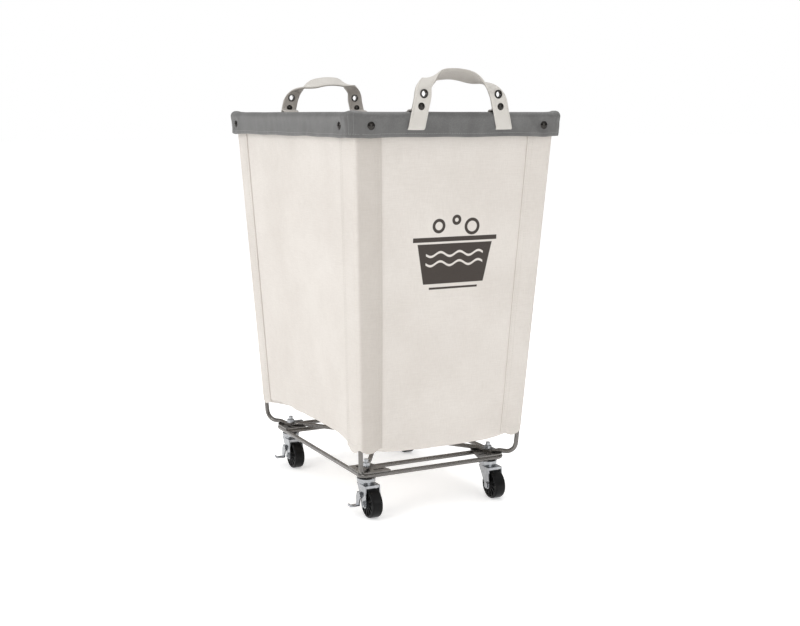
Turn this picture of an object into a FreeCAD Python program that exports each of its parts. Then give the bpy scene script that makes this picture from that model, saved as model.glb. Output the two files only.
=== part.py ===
import FreeCAD, Part
import math
import os

# Laundry cart: a tapered canvas bag on two crossing rod hoops, a base ring with
# four brackets, four swivel casters and two webbing handles. Millimetres.
# Origin: centre of the footprint on the floor. +Z up, X across, Y front to rear,
# with the front face at -Y.

Vec = FreeCAD.Vector
UP = Vec(0, 0, 1)
ALONG_X = Vec(1, 0, 0)
ALONG_Y = Vec(0, 1, 0)

# ---- driving dimensions -------------------------------------------------------
RIM_HALF_X = 198.0          # outside of the rim binding
RIM_HALF_Y = 275.0
RIM_TOP = 683.0
RIM_BAND = 40.0             # height of the binding
RIM_CORNER_R = 22.0
VINYL_T = 1.5

ROD_R = 4.0                 # every rod of the frame
WELD_GAP = 0.02             # between a rod's end and the rod it is welded to

BAG_FLOOR = 108.0
BAG_TOP = 680.0
BAG_CORNER_R = 30.0
CANVAS_T = 2.0

# The uprights lean outwards: their centre at two heights.
LEAN_LOW = Vec(153.0, 215.5, 110.0)
LEAN_HIGH = Vec(181.0, 258.0, RIM_TOP - RIM_BAND + 2.0)
SLEEVE_GAP = 0.4            # between an upright and the canvas round it
SLEEVE_T = 1.2
SLEEVE_LOW = 124.0
SLEEVE_HIGH = 650.0
SLEEVE_WIDE_LOW = 42.0
SLEEVE_WIDE_HIGH = 50.0

RING_HALF_X = 139.5         # centre line of the base ring
RING_HALF_Y = 194.5
RING_Z = 74.0
RING_CORNER_R = 14.0
CROSS_RAIL_IN = 48.0        # from the ring's end rail to the cross rail

STEM_X = 121.5              # caster positions
STEM_Y = 170.5
SHEET_T = 2.5
SHEET_LOW = RING_Z + ROD_R
SHEET_TOP = SHEET_LOW + SHEET_T
PAD_T = 4.0                 # the hoop, pressed flat under the stem nut
PAD_TOP = SHEET_TOP + PAD_T
HOOP_Z = SHEET_TOP + ROD_R + 0.2
HOOP_STEP = 8.6             # how far the upper hoop climbs over the lower one
HOOP_BEND_R = 20.0
STEP_BEND_R = 60.0

STEM_R = 4.0
STEM_TOP = PAD_TOP + 12.5
THREAD_FIT = 0.03
STEM_HOLE_R = 4.1
RACE_LOW = 60.2
RACE_TOP = 66.0
RACE_R = 16.3
CROWN_LOW = 54.0
CROWN_TOP = 58.2
CROWN_R = 14.3
BALL_R = 1.6
BALL_RING_R = 11.0
BALL_COUNT = 12
WHEEL_R = 25.0
WHEEL_W = 20.0
TRAIL = 22.0                # axle behind the swivel axis, towards -Y
AXLE_R = 3.0
RUN_FIT = 0.04
LEG_IN = 12.2               # fork leg, inner face
LEG_T = 2.0

HANDLE_X = 75.0             # strap centre at the height of the rim's top
HANDLE_SLANT = 0.23         # how far the legs close in for each unit of height
STRAP_W = 30.0
PLY = 2.2
FOOT_GAP = 0.3              # between the strap and the binding
FOOT_TOP = 699.0
HINGE_Z = 701.5             # line where the stiff webbing flexes
EYELET_Z = 711.3
EYELET_HOLE_R = 4.8
LEG_TOP = 718.5

corners = {"front_left": (-1, -1), "front_right": (1, -1), "rear_left": (-1, 1), "rear_right": (1, 1)}
braked = ("front_left", "rear_left")

os.makedirs("parts", exist_ok=True)


# ---- helpers --------------------------------------------------------------------
def save(name, *solids):
    shape = solids[0] if len(solids) == 1 else Part.makeCompound(list(solids))
    shape.exportStep("parts/" + name + ".step")
    print(name, len(shape.Solids), "solid(s)", round(shape.Volume, 1), "mm3", shape.isValid())


def box(low, high):
    size = Vec(*high) - Vec(*low)
    return Part.makeBox(size.x, size.y, size.z, Vec(*low))


def cylinder(radius, start, end):
    start, end = Vec(*start), Vec(*end)
    return Part.makeCylinder(radius, (end - start).Length, start, end - start)


def fuse(*shapes):
    return shapes[0].multiFuse(list(shapes[1:])).removeSplitter()


def rounded_rectangle(half_x, half_y, radius, z):
    """A closed wire with four corner arcs."""
    cut = radius * (1 - math.sqrt(0.5))
    edges = []
    for turn in range(4):
        hx, hy = (half_x, half_y) if turn % 2 == 0 else (half_y, half_x)
        spin = FreeCAD.Rotation(UP, 90 * turn)
        place = [(hx, -hy + radius), (hx, hy - radius), (hx - cut, hy - cut), (hx - radius, hy)]
        a, b, c, d = [spin.multVec(Vec(x, y, 0)) + Vec(0, 0, z) for x, y in place]
        edges.append(Part.LineSegment(a, b).toShape())
        edges.append(Part.Arc(b, c, d).toShape())
    return Part.Wire(edges)


def rounded_prism(half_x, half_y, radius, low, high):
    wire = rounded_rectangle(half_x, half_y, radius, low)
    return Part.Face(wire).extrude(Vec(0, 0, high - low))


def rod_along(points, bends, radius=ROD_R):
    """A round rod through the points, with a tangent arc at each inner point."""
    points = [Vec(*p) for p in points]
    pieces = []
    at = points[0]
    for before, corner, after, bend in zip(points, points[1:], points[2:], bends):
        back = (before - corner).normalize()
        ahead = (after - corner).normalize()
        half = back.getAngle(ahead) / 2
        run = bend / math.tan(half)
        start, end = corner + back * run, corner + ahead * run
        centre = corner + (back + ahead).normalize() * (bend / math.sin(half))
        pieces.append(cylinder(radius, at, start))
        section = Part.Face(Part.Wire(Part.makeCircle(radius, start, back * -1)))
        swing = 180 - math.degrees(2 * half)
        pieces.append(section.revolve(centre, ahead.cross(back), swing))
        at = end
    pieces.append(cylinder(radius, at, points[-1]))
    return fuse(*pieces)


def rounded_ring(half_x, half_y, corner_r, z, radius=ROD_R):
    """A rod bent into a closed rounded rectangle."""
    path = rounded_rectangle(half_x, half_y, corner_r, z)
    start = Vec(half_x, -half_y + corner_r, z)
    profile = Part.Wire(Part.makeCircle(radius, start, ALONG_Y))
    return path.makePipeShell([profile], True, True, 0)


def plate_x(outline, low, high):
    """A flat plate: an outline of (y, z) points, between two X values."""
    wire = Part.makePolygon([Vec(low, y, z) for y, z in outline + outline[:1]])
    return Part.Face(wire).extrude(Vec(high - low, 0, 0))


def plate_z(outline, low, high):
    wire = Part.makePolygon([Vec(x, y, low) for x, y in outline + outline[:1]])
    return Part.Face(wire).extrude(Vec(0, 0, high - low))


def turned(outline, centre, axis):
    """A solid of revolution: an outline of (radius, height) points about an axis."""
    wire = Part.makePolygon([Vec(r, 0, h) for r, h in outline + outline[:1]])
    solid = Part.Face(wire).revolve(Vec(0, 0, 0), UP, 360)
    solid.Placement = FreeCAD.Placement(Vec(*centre), FreeCAD.Rotation(UP, axis))
    return solid


def dome(centre, axis, radius, height):
    """A low round head, its flat side on the centre."""
    ball_r = (radius ** 2 + height ** 2) / (2 * height)
    half = math.asin(radius / ball_r) / 2
    middle = Vec(ball_r * math.sin(half), 0, ball_r * math.cos(half) - ball_r + height)
    arc = Part.Arc(Vec(radius, 0, 0), middle, Vec(0, 0, height)).toShape()
    base = Part.makePolygon([Vec(0, 0, height), Vec(0, 0, 0), Vec(radius, 0, 0)])
    solid = Part.Face(Part.Wire(base.Edges + [arc])).revolve(Vec(0, 0, 0), UP, 360)
    solid.Placement = FreeCAD.Placement(Vec(*centre), FreeCAD.Rotation(UP, axis))
    return solid


def lean(z):
    """Centre of an upright at a height, as half distances across X and Y."""
    t = (z - LEAN_LOW.z) / (LEAN_HIGH.z - LEAN_LOW.z)
    return LEAN_LOW + (LEAN_HIGH - LEAN_LOW) * t


def mirrored(shape, sx, sy):
    if sx < 0:
        shape = shape.mirror(Vec(0, 0, 0), ALONG_X)
    if sy < 0:
        shape = shape.mirror(Vec(0, 0, 0), ALONG_Y)
    return shape


# ---- rim: ring, binding and rivets --------------------------------------------
RIM_RING_IN = 8.0           # ring centre line inside the binding's outer face
RIM_RING_Z = RIM_TOP - RIM_RING_IN
RIM_RING_CORNER_R = 14.0
rim_ring_x = RIM_HALF_X - RIM_RING_IN
rim_ring_y = RIM_HALF_Y - RIM_RING_IN
MOUTH_IN = 15.0             # inner skirt of the binding, outer face, from the outside
mouth_x = RIM_HALF_X - MOUTH_IN
mouth_y = RIM_HALF_Y - MOUTH_IN
MOUTH_R = 27.7
band_low = RIM_TOP - RIM_BAND
SLOT_LOW = 653.3            # the strap passes through the band here
SLOT_HIGH = 656.1
SLOT_W = STRAP_W + 3.0


def strap_x(z):
    return HANDLE_X - HANDLE_SLANT * (z - RIM_TOP)


def strap_slots():
    cuts = []
    for side in (-1, 1):
        for end in (-1, 1):
            x = side * strap_x(SLOT_LOW)
            y = sorted((end * (mouth_y - 8.0), end * (RIM_HALF_Y + 5.0)))
            cuts.append(box((x - SLOT_W / 2, y[0], SLOT_LOW), (x + SLOT_W / 2, y[1], SLOT_HIGH)))
    return Part.makeCompound(cuts)


RIM_RIVET_R = 6.5
RIM_RIVET_H = 2.8
RIM_RIVET_IN = 38.0         # from the corner along each face
RIM_RIVET_Z = RIM_TOP - 21.5
SHANK_R = 2.0
WASHER_T = 0.8
rivet_spots = []
for sx in (-1, 1):
    for sy in (-1, 1):
        rivet_spots.append((Vec(sx * (RIM_HALF_X - RIM_RIVET_IN), sy * RIM_HALF_Y, RIM_RIVET_Z), Vec(0, sy, 0)))
        rivet_spots.append((Vec(sx * RIM_HALF_X, sy * (RIM_HALF_Y - RIM_RIVET_IN), RIM_RIVET_Z), Vec(sx, 0, 0)))

rim_ring = rounded_ring(rim_ring_x, rim_ring_y, RIM_RING_CORNER_R, RIM_RING_Z)
save("rim_ring", rim_ring)

skin = rounded_prism(RIM_HALF_X, RIM_HALF_Y, RIM_CORNER_R, band_low, RIM_TOP)
mouth = rounded_prism(mouth_x - VINYL_T, mouth_y - VINYL_T, MOUTH_R - VINYL_T, band_low - 1, RIM_TOP + 1)
cavity = rounded_prism(RIM_HALF_X - VINYL_T, RIM_HALF_Y - VINYL_T, RIM_CORNER_R - VINYL_T, band_low - 1, RIM_TOP - VINYL_T)
core = rounded_prism(mouth_x, mouth_y, MOUTH_R, band_low - 1, RIM_TOP + 1)
rivet_holes = Part.makeCompound(
    [Part.makeCylinder(SHANK_R + 0.05, 6.0, spot - out * 5.0, out) for spot, out in rivet_spots])
rim_binding = skin.cut(mouth).cut(cavity.cut(core)).cut(strap_slots()).cut(rivet_holes)
save("rim_binding", rim_binding)

rim_rivets = []
for spot, out in rivet_spots:
    head = dome(spot, out, RIM_RIVET_R, RIM_RIVET_H)
    shank = Part.makeCylinder(SHANK_R, VINYL_T + WASHER_T + 0.5, spot - out * (VINYL_T + WASHER_T), out)
    washer = Part.makeCylinder(5.0, WASHER_T, spot - out * (VINYL_T + WASHER_T), out)
    rim_rivets.append(fuse(head, shank, washer))
save("rim_rivets", *rim_rivets)

# ---- canvas bag and the sleeves round the uprights ----------------------------
BAG_OFF = ROD_R + 0.3       # canvas face outside an upright's centre
straight = LEAN_HIGH.z      # the canvas stands upright above this height


def bag_body(inset, low, high):
    """The bag's outer form, pulled in by the inset."""
    radius = BAG_CORNER_R - inset
    wires = []
    for z in (low, straight):
        at = lean(z)
        wires.append(rounded_rectangle(at.x + BAG_OFF - inset, at.y + BAG_OFF - inset, radius, z))
    lower = Part.makeLoft(wires, True, True)
    top = LEAN_HIGH + Vec(BAG_OFF - inset, BAG_OFF - inset, 0)
    upper = rounded_prism(top.x, top.y, radius, straight, high)
    return lower.fuse(upper)


canvas_bag = bag_body(0, BAG_FLOOR, BAG_TOP).cut(bag_body(CANVAS_T, BAG_FLOOR + CANVAS_T, BAG_TOP + 5))
canvas_bag = canvas_bag.cut(strap_slots()).removeSplitter()
save("canvas_bag", canvas_bag)


def sleeve_section(z, wide):
    """An L round an upright: two flat laps and a corner that hugs the rod."""
    at = lean(z)
    inner_r = ROD_R + SLEEVE_GAP
    outer_r = inner_r + SLEEVE_T
    s = math.sqrt(0.5)
    far_x, far_y = at.x + inner_r - wide, at.y + inner_r - wide

    def point(x, y):
        return Vec(x, y, z)

    edges = [
        Part.LineSegment(point(at.x + outer_r, far_y), point(at.x + outer_r, at.y)),
        Part.Arc(point(at.x + outer_r, at.y), point(at.x + outer_r * s, at.y + outer_r * s), point(at.x, at.y + outer_r)),
        Part.LineSegment(point(at.x, at.y + outer_r), point(far_x, at.y + outer_r)),
        Part.LineSegment(point(far_x, at.y + outer_r), point(far_x, at.y + inner_r)),
        Part.LineSegment(point(far_x, at.y + inner_r), point(at.x, at.y + inner_r)),
        Part.Arc(point(at.x, at.y + inner_r), point(at.x + inner_r * s, at.y + inner_r * s), point(at.x + inner_r, at.y)),
        Part.LineSegment(point(at.x + inner_r, at.y), point(at.x + inner_r, far_y)),
        Part.LineSegment(point(at.x + inner_r, far_y), point(at.x + outer_r, far_y)),
    ]
    return Part.Wire([edge.toShape() for edge in edges])


sections = [sleeve_section(SLEEVE_LOW, SLEEVE_WIDE_LOW), sleeve_section(SLEEVE_HIGH, SLEEVE_WIDE_HIGH)]
sleeve = Part.makeLoft(sections, True, True)
for name, (sx, sy) in corners.items():
    save("corner_sleeve_" + name, mirrored(sleeve, sx, sy))

# ---- base ring, cross rails and brackets --------------------------------------
base_ring = rounded_ring(RING_HALF_X, RING_HALF_Y, RING_CORNER_R, RING_Z)
save("base_ring", base_ring)

for name, side in (("front", -1), ("rear", 1)):
    y = side * (RING_HALF_Y - CROSS_RAIL_IN)
    rail = cylinder(ROD_R, (-RING_HALF_X, y, RING_Z), (RING_HALF_X, y, RING_Z))
    for end in (-1, 1):
        x = end * RING_HALF_X
        rail = rail.cut(cylinder(ROD_R + WELD_GAP, (x, y - 20, RING_Z), (x, y + 20, RING_Z)))
    save("cross_rail_" + name, max(rail.Solids, key=lambda s: s.Volume))

BRACKET_OUT = 3.0           # a bracket's outer edge, outside the ring's centre line
BRACKET_LONG = 52.0
BRACKET_SLANT = 14.0
BRACKET_SLOT_R = 2.5


def bracket_outline(off, low, high):
    """A plate with one round outer corner and a slanted inner corner."""
    outer = rounded_prism(RING_HALF_X + off, RING_HALF_Y + off, RING_CORNER_R + off, low, high)
    x_in, y_in = RING_HALF_X - BRACKET_LONG, RING_HALF_Y - BRACKET_LONG
    far = 400.0
    keep = [(x_in, far), (x_in, RING_HALF_Y - 6.0), (x_in + BRACKET_SLANT, y_in), (far, y_in), (far, far)]
    return outer.common(plate_z(keep, low, high))


def bracket_slot(start, end):
    """A slot with round ends through the plate."""
    x, y = sorted((start[0], end[0])), sorted((start[1], end[1]))
    along_x = x[1] > x[0]
    half_x, half_y = (0, BRACKET_SLOT_R) if along_x else (BRACKET_SLOT_R, 0)
    middle = box((x[0] - half_x, y[0] - half_y, SHEET_LOW - 1), (x[1] + half_x, y[1] + half_y, SHEET_TOP + 1))
    ends = [cylinder(BRACKET_SLOT_R, (*spot, SHEET_LOW - 1), (*spot, SHEET_TOP + 1)) for spot in (start, end)]
    return fuse(middle, *ends)


bracket = bracket_outline(BRACKET_OUT, SHEET_LOW, SHEET_TOP)
for start, end in (((96.0, 184.0), (112.0, 184.0)), ((130.0, 152.0), (130.0, 162.0))):
    bracket = bracket.cut(bracket_slot(start, end))
bracket = bracket.cut(cylinder(STEM_HOLE_R, (STEM_X, STEM_Y, 50), (STEM_X, STEM_Y, 100)))
for name, (sx, sy) in corners.items():
    save("corner_bracket_" + name, mirrored(bracket, sx, sy))

# ---- the two hoops --------------------------------------------------------------
HOOK_R = 6.2                # rolled end of an upright, over the rim ring
HOOK_SPREAD = 46.0          # degrees of the ring's corner that it covers
PAD_HALF = 9.0
PAD_HALF_W = 7.0
TAPER = 12.0
STEP_FROM, STEP_TO = 34.0, 70.0     # the upper hoop climbs between these, inboard of its stem
centre_run = math.hypot(STEM_X, STEM_Y)


def torus_corner(radius, spread):
    """A piece of the rim ring's corner bend, thickened to the radius."""
    centre = Vec(rim_ring_x - RIM_RING_CORNER_R, rim_ring_y - RIM_RING_CORNER_R, RIM_RING_Z)
    face = Part.Face(Part.Wire(Part.makeCircle(radius, centre + ALONG_X * RIM_RING_CORNER_R, ALONG_Y)))
    face.rotate(centre, UP, 45 - spread / 2)
    return face.revolve(centre, UP, spread)


def flat_for_stem():
    """The rod pressed flat under the nut, lying along X about the origin."""
    pad = box((-PAD_HALF, -PAD_HALF_W, SHEET_TOP), (PAD_HALF, PAD_HALF_W, PAD_TOP))
    pieces = [pad]
    for side in (-1, 1):
        round_end = Part.Wire(Part.makeCircle(ROD_R - 0.1, Vec(side * (PAD_HALF + TAPER), 0, HOOP_Z), ALONG_X))
        squashed = Part.Ellipse(Vec(0, 0, 0), PAD_HALF_W - 0.5, PAD_T / 2 - 0.05).toShape()
        squashed.Placement = FreeCAD.Placement(
            Vec(side * PAD_HALF, 0, SHEET_TOP + PAD_T / 2), FreeCAD.Rotation(Vec(0, 1, 0), Vec(0, 0, 1), ALONG_X, "ZXY"))
        pieces.append(Part.makeLoft([round_end, Part.Wire(squashed)], True))
    return fuse(*pieces)


def hoop(heading_y, step):
    """A U of rod: up one corner, across under the bag and up the far corner."""
    top = lean(RIM_RING_Z)
    foot = lean(HOOP_Z)
    reach = Vec(STEM_X, STEM_Y, 0).normalize()

    def across(distance, z):
        return Vec(reach.x * distance, reach.y * distance, z)

    half = [top, Vec(foot.x, foot.y, HOOP_Z)]
    bends = [HOOP_BEND_R]
    if step:
        half += [across(centre_run - STEP_FROM, HOOP_Z), across(centre_run - STEP_TO, HOOP_Z + step)]
        bends += [STEP_BEND_R, STEP_BEND_R]
    other = [Vec(-p.x, -p.y, p.z) for p in reversed(half)]
    rod = rod_along(half + other, bends + list(reversed(bends)))
    angle = math.degrees(math.atan2(STEM_Y, STEM_X))
    hook = torus_corner(HOOK_R, HOOK_SPREAD)
    bore = torus_corner(ROD_R + 0.05, HOOK_SPREAD + 60)
    for turn in (0, 180):
        stem = Vec(STEM_X, STEM_Y, 0) if turn == 0 else Vec(-STEM_X, -STEM_Y, 0)
        window = box((-PAD_HALF - TAPER, -20, 60), (PAD_HALF + TAPER, 20, 110))
        flat = flat_for_stem()
        for shape in (window, flat):
            shape.rotate(Vec(0, 0, 0), UP, angle)
            shape.translate(stem)
        rod = rod.cut(window).fuse(flat)
        this_hook, this_bore = hook.copy(), bore.copy()
        for shape in (this_hook, this_bore):
            shape.rotate(Vec(0, 0, 0), UP, turn)
        rod = rod.fuse(this_hook).cut(this_bore)
        rod = rod.cut(cylinder(STEM_HOLE_R, (stem.x, stem.y, 50), (stem.x, stem.y, 110)))
    rod = max(rod.Solids, key=lambda s: s.Volume)
    return rod if heading_y > 0 else rod.mirror(Vec(0, 0, 0), ALONG_X)


save("frame_hoop_upper", hoop(1, HOOP_STEP))
save("frame_hoop_lower", hoop(-1, 0.0))

# ---- webbing handles ------------------------------------------------------------
outer_y = RIM_HALF_Y + FOOT_GAP + PLY           # outer face of the outer ply
seam_y = RIM_HALF_Y + FOOT_GAP                  # between the plies above the rim
inner_y = RIM_HALF_Y - MOUTH_IN - VINYL_T - FOOT_GAP - PLY


def strap_piece(low, high, y_low, y_high):
    """A length of one strap leg between two heights, for the right rear leg."""
    outline = []
    for z, side in ((low, -1), (low, 1), (high, 1), (high, -1)):
        outline.append(Vec(strap_x(z) + side * STRAP_W / 2, y_low, z))
    wire = Part.makePolygon(outline + outline[:1])
    return Part.Face(wire).extrude(Vec(0, y_high - y_low, 0))


HANDLE_RIVET_Z = 691.5
HANDLE_RIVET_R = 6.0
HANDLE_RIVET_H = 2.4
bridge_low = SLOT_LOW + FOOT_GAP
rim_bridge = RIM_TOP + FOOT_GAP
foot = fuse(
    strap_piece(bridge_low, FOOT_TOP, seam_y, outer_y),
    strap_piece(bridge_low, rim_bridge + PLY, inner_y, inner_y + PLY),
    strap_piece(bridge_low, bridge_low + PLY, inner_y, outer_y),
    strap_piece(rim_bridge, rim_bridge + PLY, inner_y, outer_y),
    strap_piece(rim_bridge, FOOT_TOP, seam_y - PLY, seam_y),
)
rivet_x = strap_x(HANDLE_RIVET_Z)
foot = foot.cut(cylinder(SHANK_R + 0.05, (rivet_x, seam_y - 9, HANDLE_RIVET_Z), (rivet_x, seam_y + 9, HANDLE_RIVET_Z)))
handle_rivet = fuse(
    dome((rivet_x, outer_y, HANDLE_RIVET_Z), ALONG_Y, HANDLE_RIVET_R, HANDLE_RIVET_H),
    dome((rivet_x, seam_y - PLY, HANDLE_RIVET_Z), Vec(0, -1, 0), HANDLE_RIVET_R, HANDLE_RIVET_H),
    cylinder(SHANK_R, (rivet_x, seam_y - PLY - 0.5, HANDLE_RIVET_Z), (rivet_x, outer_y + 0.5, HANDLE_RIVET_Z)),
)
save("handle_rivets", *[mirrored(handle_rivet, sx, sy) for sx, sy in corners.values()])

eyelet_x = strap_x(EYELET_Z)
BARREL_R = 5.5
FLANGE_R = 7.2
FLANGE_T = 1.2
eyelet = turned(
    [(EYELET_HOLE_R, -PLY - FLANGE_T), (FLANGE_R - 0.6, -PLY - FLANGE_T), (FLANGE_R, -PLY - 0.4), (FLANGE_R, -PLY),
     (BARREL_R, -PLY), (BARREL_R, PLY), (FLANGE_R, PLY), (FLANGE_R, PLY + 0.4), (FLANGE_R - 0.6, PLY + FLANGE_T),
     (EYELET_HOLE_R, PLY + FLANGE_T)],
    (eyelet_x, seam_y, EYELET_Z), ALONG_Y)

ARCH_RISE = 34.5            # reach of the arch's two control points
ARCH_LEAN = -19.0           # how far they lean over the bag
ARCH_T = 2.4
ARCH_TWIST = 62.0           # degrees that the webbing turns
TWIST_SHARE = 0.26          # share of the arch over which it turns, at each end
ARCH_STEPS = 24
# Heights and half thicknesses of a leg, rounded where it bends on the foot.
leg_sections = ((HINGE_Z - 2.1, 0.8), (HINGE_Z - 1.3, 1.7), (HINGE_Z, PLY), (LEG_TOP, PLY))


def strap_section(at, wide, face, thick):
    """A flat rectangle across the strap."""
    ring = [at + wide * (a * STRAP_W / 2) + face * (b * thick) for a, b in ((-1, -1), (1, -1), (1, 1), (-1, 1))]
    return Part.makePolygon(ring + ring[:1])


def grip_strap():
    """One strap from hinge to hinge: it turns and leans in towards the bag at the top."""
    up = Vec(-HANDLE_SLANT, 0, 1).normalize() * ARCH_RISE + Vec(0, ARCH_LEAN, 0)
    p0 = Vec(strap_x(LEG_TOP), seam_y, LEG_TOP)
    p1 = p0 + up
    p2 = Vec(-p1.x, p1.y, p1.z)
    p3 = Vec(-p0.x, p0.y, p0.z)
    right = [strap_section(Vec(strap_x(z), seam_y, z), ALONG_X * -1, ALONG_Y, thick) for z, thick in leg_sections]
    left = [strap_section(Vec(-strap_x(z), seam_y, z), ALONG_X, ALONG_Y, thick) for z, thick in reversed(leg_sections)]
    top = []
    for step in range(1, ARCH_STEPS):
        t = step / ARCH_STEPS
        u = 1 - t
        at = p0 * u ** 3 + p1 * (3 * u * u * t) + p2 * (3 * u * t * t) + p3 * t ** 3
        tangent = ((p1 - p0) * (u * u) + (p2 - p1) * (2 * u * t) + (p3 - p2) * (t * t)).normalize()
        face = (ALONG_Y - tangent * ALONG_Y.dot(tangent)).normalize()
        turn = min(1.0, min(t, u) / TWIST_SHARE)
        face = FreeCAD.Rotation(tangent, ARCH_TWIST * turn * turn * (3 - 2 * turn)).multVec(face)
        top.append(strap_section(at, tangent.cross(face), face, ARCH_T / 2))
    return Part.makeLoft(right + top + left, True, True)


grip = grip_strap()
for side in (-1, 1):
    x = side * eyelet_x
    grip = grip.cut(cylinder(BARREL_R + 0.05, (x, seam_y - 5, EYELET_Z), (x, seam_y + 5, EYELET_Z)))
for name, side in (("front", -1), ("rear", 1)):
    save("handle_grip_" + name, mirrored(grip, 1, side))
    save("handle_feet_" + name, mirrored(foot, 1, side), mirrored(foot, -1, side))
    save("handle_eyelets_" + name, mirrored(eyelet, 1, side), mirrored(eyelet, -1, side))

# ---- casters ----------------------------------------------------------------------
# Built about the swivel axis at the origin, then moved to each corner.
groove = Part.makeTorus(BALL_RING_R, BALL_R + 0.05, Vec(0, 0, (RACE_LOW + CROWN_TOP) / 2))
HEAD_R = 6.5
stem = fuse(
    cylinder(STEM_R, (0, 0, CROWN_LOW - 3.5), (0, 0, STEM_TOP)),
    cylinder(HEAD_R, (0, 0, CROWN_LOW - 3.5), (0, 0, CROWN_LOW - 0.3)),
    turned([(0, RACE_LOW), (CROWN_R + 0.6, RACE_LOW), (CROWN_R + 0.6, RACE_LOW - 1.2), (RACE_R, RACE_LOW - 1.2),
            (RACE_R, RACE_TOP - 1.6), (RACE_R - 1.6, RACE_TOP), (0, RACE_TOP)], (0, 0, 0), UP),
).cut(groove)
spacer = cylinder(13.5, (0, 0, RACE_TOP), (0, 0, SHEET_LOW)).cut(cylinder(STEM_HOLE_R, (0, 0, 50), (0, 0, 90)))
NUT_H = 6.5
NUT_FLATS = 13.0
nut_outline = []
for side in range(6):
    reach = NUT_FLATS / math.sqrt(3)
    nut_outline.append((reach * math.cos(math.radians(60 * side)), reach * math.sin(math.radians(60 * side))))
nut = plate_z(nut_outline, PAD_TOP, PAD_TOP + NUT_H)
nut = nut.common(turned([(0, PAD_TOP), (NUT_FLATS / 2, PAD_TOP), (NUT_FLATS / 2 + 1.2, PAD_TOP + 0.9),
                         (NUT_FLATS / 2 + 1.2, PAD_TOP + NUT_H - 0.9), (NUT_FLATS / 2, PAD_TOP + NUT_H),
                         (0, PAD_TOP + NUT_H)], (0, 0, 0), UP))
nut = nut.cut(cylinder(STEM_R + THREAD_FIT, (0, 0, 50), (0, 0, 110)))
balls = []
for index in range(BALL_COUNT):
    turn = math.radians(360 / BALL_COUNT * index)
    place = Vec(BALL_RING_R * math.cos(turn), BALL_RING_R * math.sin(turn), (RACE_LOW + CROWN_TOP) / 2)
    balls.append(Part.makeSphere(BALL_R, place))

LEG_OUT = LEG_IN + LEG_T
BOSS_R = 7.5
PIN_Y, PIN_Z = -9.0, 38.0   # pivot of the brake lever
PIN_R = 2.2
axle_at = (-TRAIL, WHEEL_R)


def tangent_outline(top, centre, radius):
    """Two top corners joined round a boss: a strap-shaped fork leg."""
    points = [top[0], top[1]]
    for degrees in range(-15, -196, -15):
        angle = math.radians(degrees)
        points.append((centre[0] + radius * math.cos(angle), centre[1] + radius * math.sin(angle)))
    return points


leg_outline = tangent_outline([(-TRAIL - 3.0, CROWN_LOW + 2.0), (8.0, CROWN_LOW + 2.0)], axle_at, BOSS_R)
fork = fuse(
    cylinder(CROWN_R, (0, 0, CROWN_LOW), (0, 0, CROWN_TOP)),
    box((-LEG_OUT, -TRAIL - 3.0, CROWN_LOW), (LEG_OUT, 8.0, CROWN_LOW + 2.0)),
    box((-LEG_OUT, -TRAIL - 3.0, CROWN_LOW - 2.5), (LEG_OUT, -TRAIL - 1.0, CROWN_LOW + 1.0)),
    plate_x(leg_outline, LEG_IN, LEG_OUT),
    plate_x(leg_outline, -LEG_OUT, -LEG_IN),
)
fork = fork.cut(groove).cut(cylinder(STEM_R + 0.05, (0, 0, 40), (0, 0, 70)))
fork = fork.cut(cylinder(AXLE_R + 0.02, (-30, -TRAIL, WHEEL_R), (30, -TRAIL, WHEEL_R)))
braked_fork = fork.cut(cylinder(PIN_R + 0.02, (-30, PIN_Y, PIN_Z), (0, PIN_Y, PIN_Z)))

HUB_R = 9.5
HUB_OUT = 11.2
BUSH_R = 4.5
RECESS_R = 20.0
RECESS = 2.0
RIB_COUNT = 12
half_w = WHEEL_W / 2
wheel = turned(
    [(0, -HUB_OUT), (HUB_R - 2, -HUB_OUT), (HUB_R, -half_w + RECESS), (RECESS_R, -half_w + RECESS), (RECESS_R + 1, -half_w),
     (WHEEL_R - 3, -half_w), (WHEEL_R - 0.9, -half_w + 0.9), (WHEEL_R, -half_w + 3), (WHEEL_R, half_w - 3),
     (WHEEL_R - 0.9, half_w - 0.9), (WHEEL_R - 3, half_w), (RECESS_R + 1, half_w), (RECESS_R, half_w - RECESS),
     (HUB_R, half_w - RECESS), (HUB_R - 2, HUB_OUT), (0, HUB_OUT)], (0, 0, 0), UP)
ribs = []
for index in range(RIB_COUNT):
    for side in (-1, 1):
        low = sorted((side * (half_w - RECESS - 0.5), side * (half_w - 0.3)))
        rib = box((HUB_R - 1.5, -0.9, low[0]), (RECESS_R + 1, 0.9, low[1]))
        rib.rotate(Vec(0, 0, 0), UP, 360 / RIB_COUNT * index)
        ribs.append(rib)
wheel = wheel.multiFuse(ribs)
wheel = wheel.cut(Part.makeCylinder(BUSH_R + 0.02, 40, Vec(0, 0, -20)))
bush = Part.makeCylinder(BUSH_R, 2 * HUB_OUT + 0.6, Vec(0, 0, -HUB_OUT - 0.3))
bush = bush.cut(Part.makeCylinder(AXLE_R + RUN_FIT, 40, Vec(0, 0, -20)))
axle_head = 3.0
axle = fuse(
    Part.makeCylinder(AXLE_R, 2 * LEG_OUT + 2, Vec(0, 0, -LEG_OUT - 1)),
    dome((0, 0, LEG_OUT), UP, 5.2, axle_head),
    plate_z([(0.8 * x, 0.8 * y) for x, y in nut_outline], -LEG_OUT - axle_head, -LEG_OUT),
)
on_axle = FreeCAD.Placement(Vec(0, -TRAIL, WHEEL_R), FreeCAD.Rotation(UP, ALONG_X))

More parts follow.
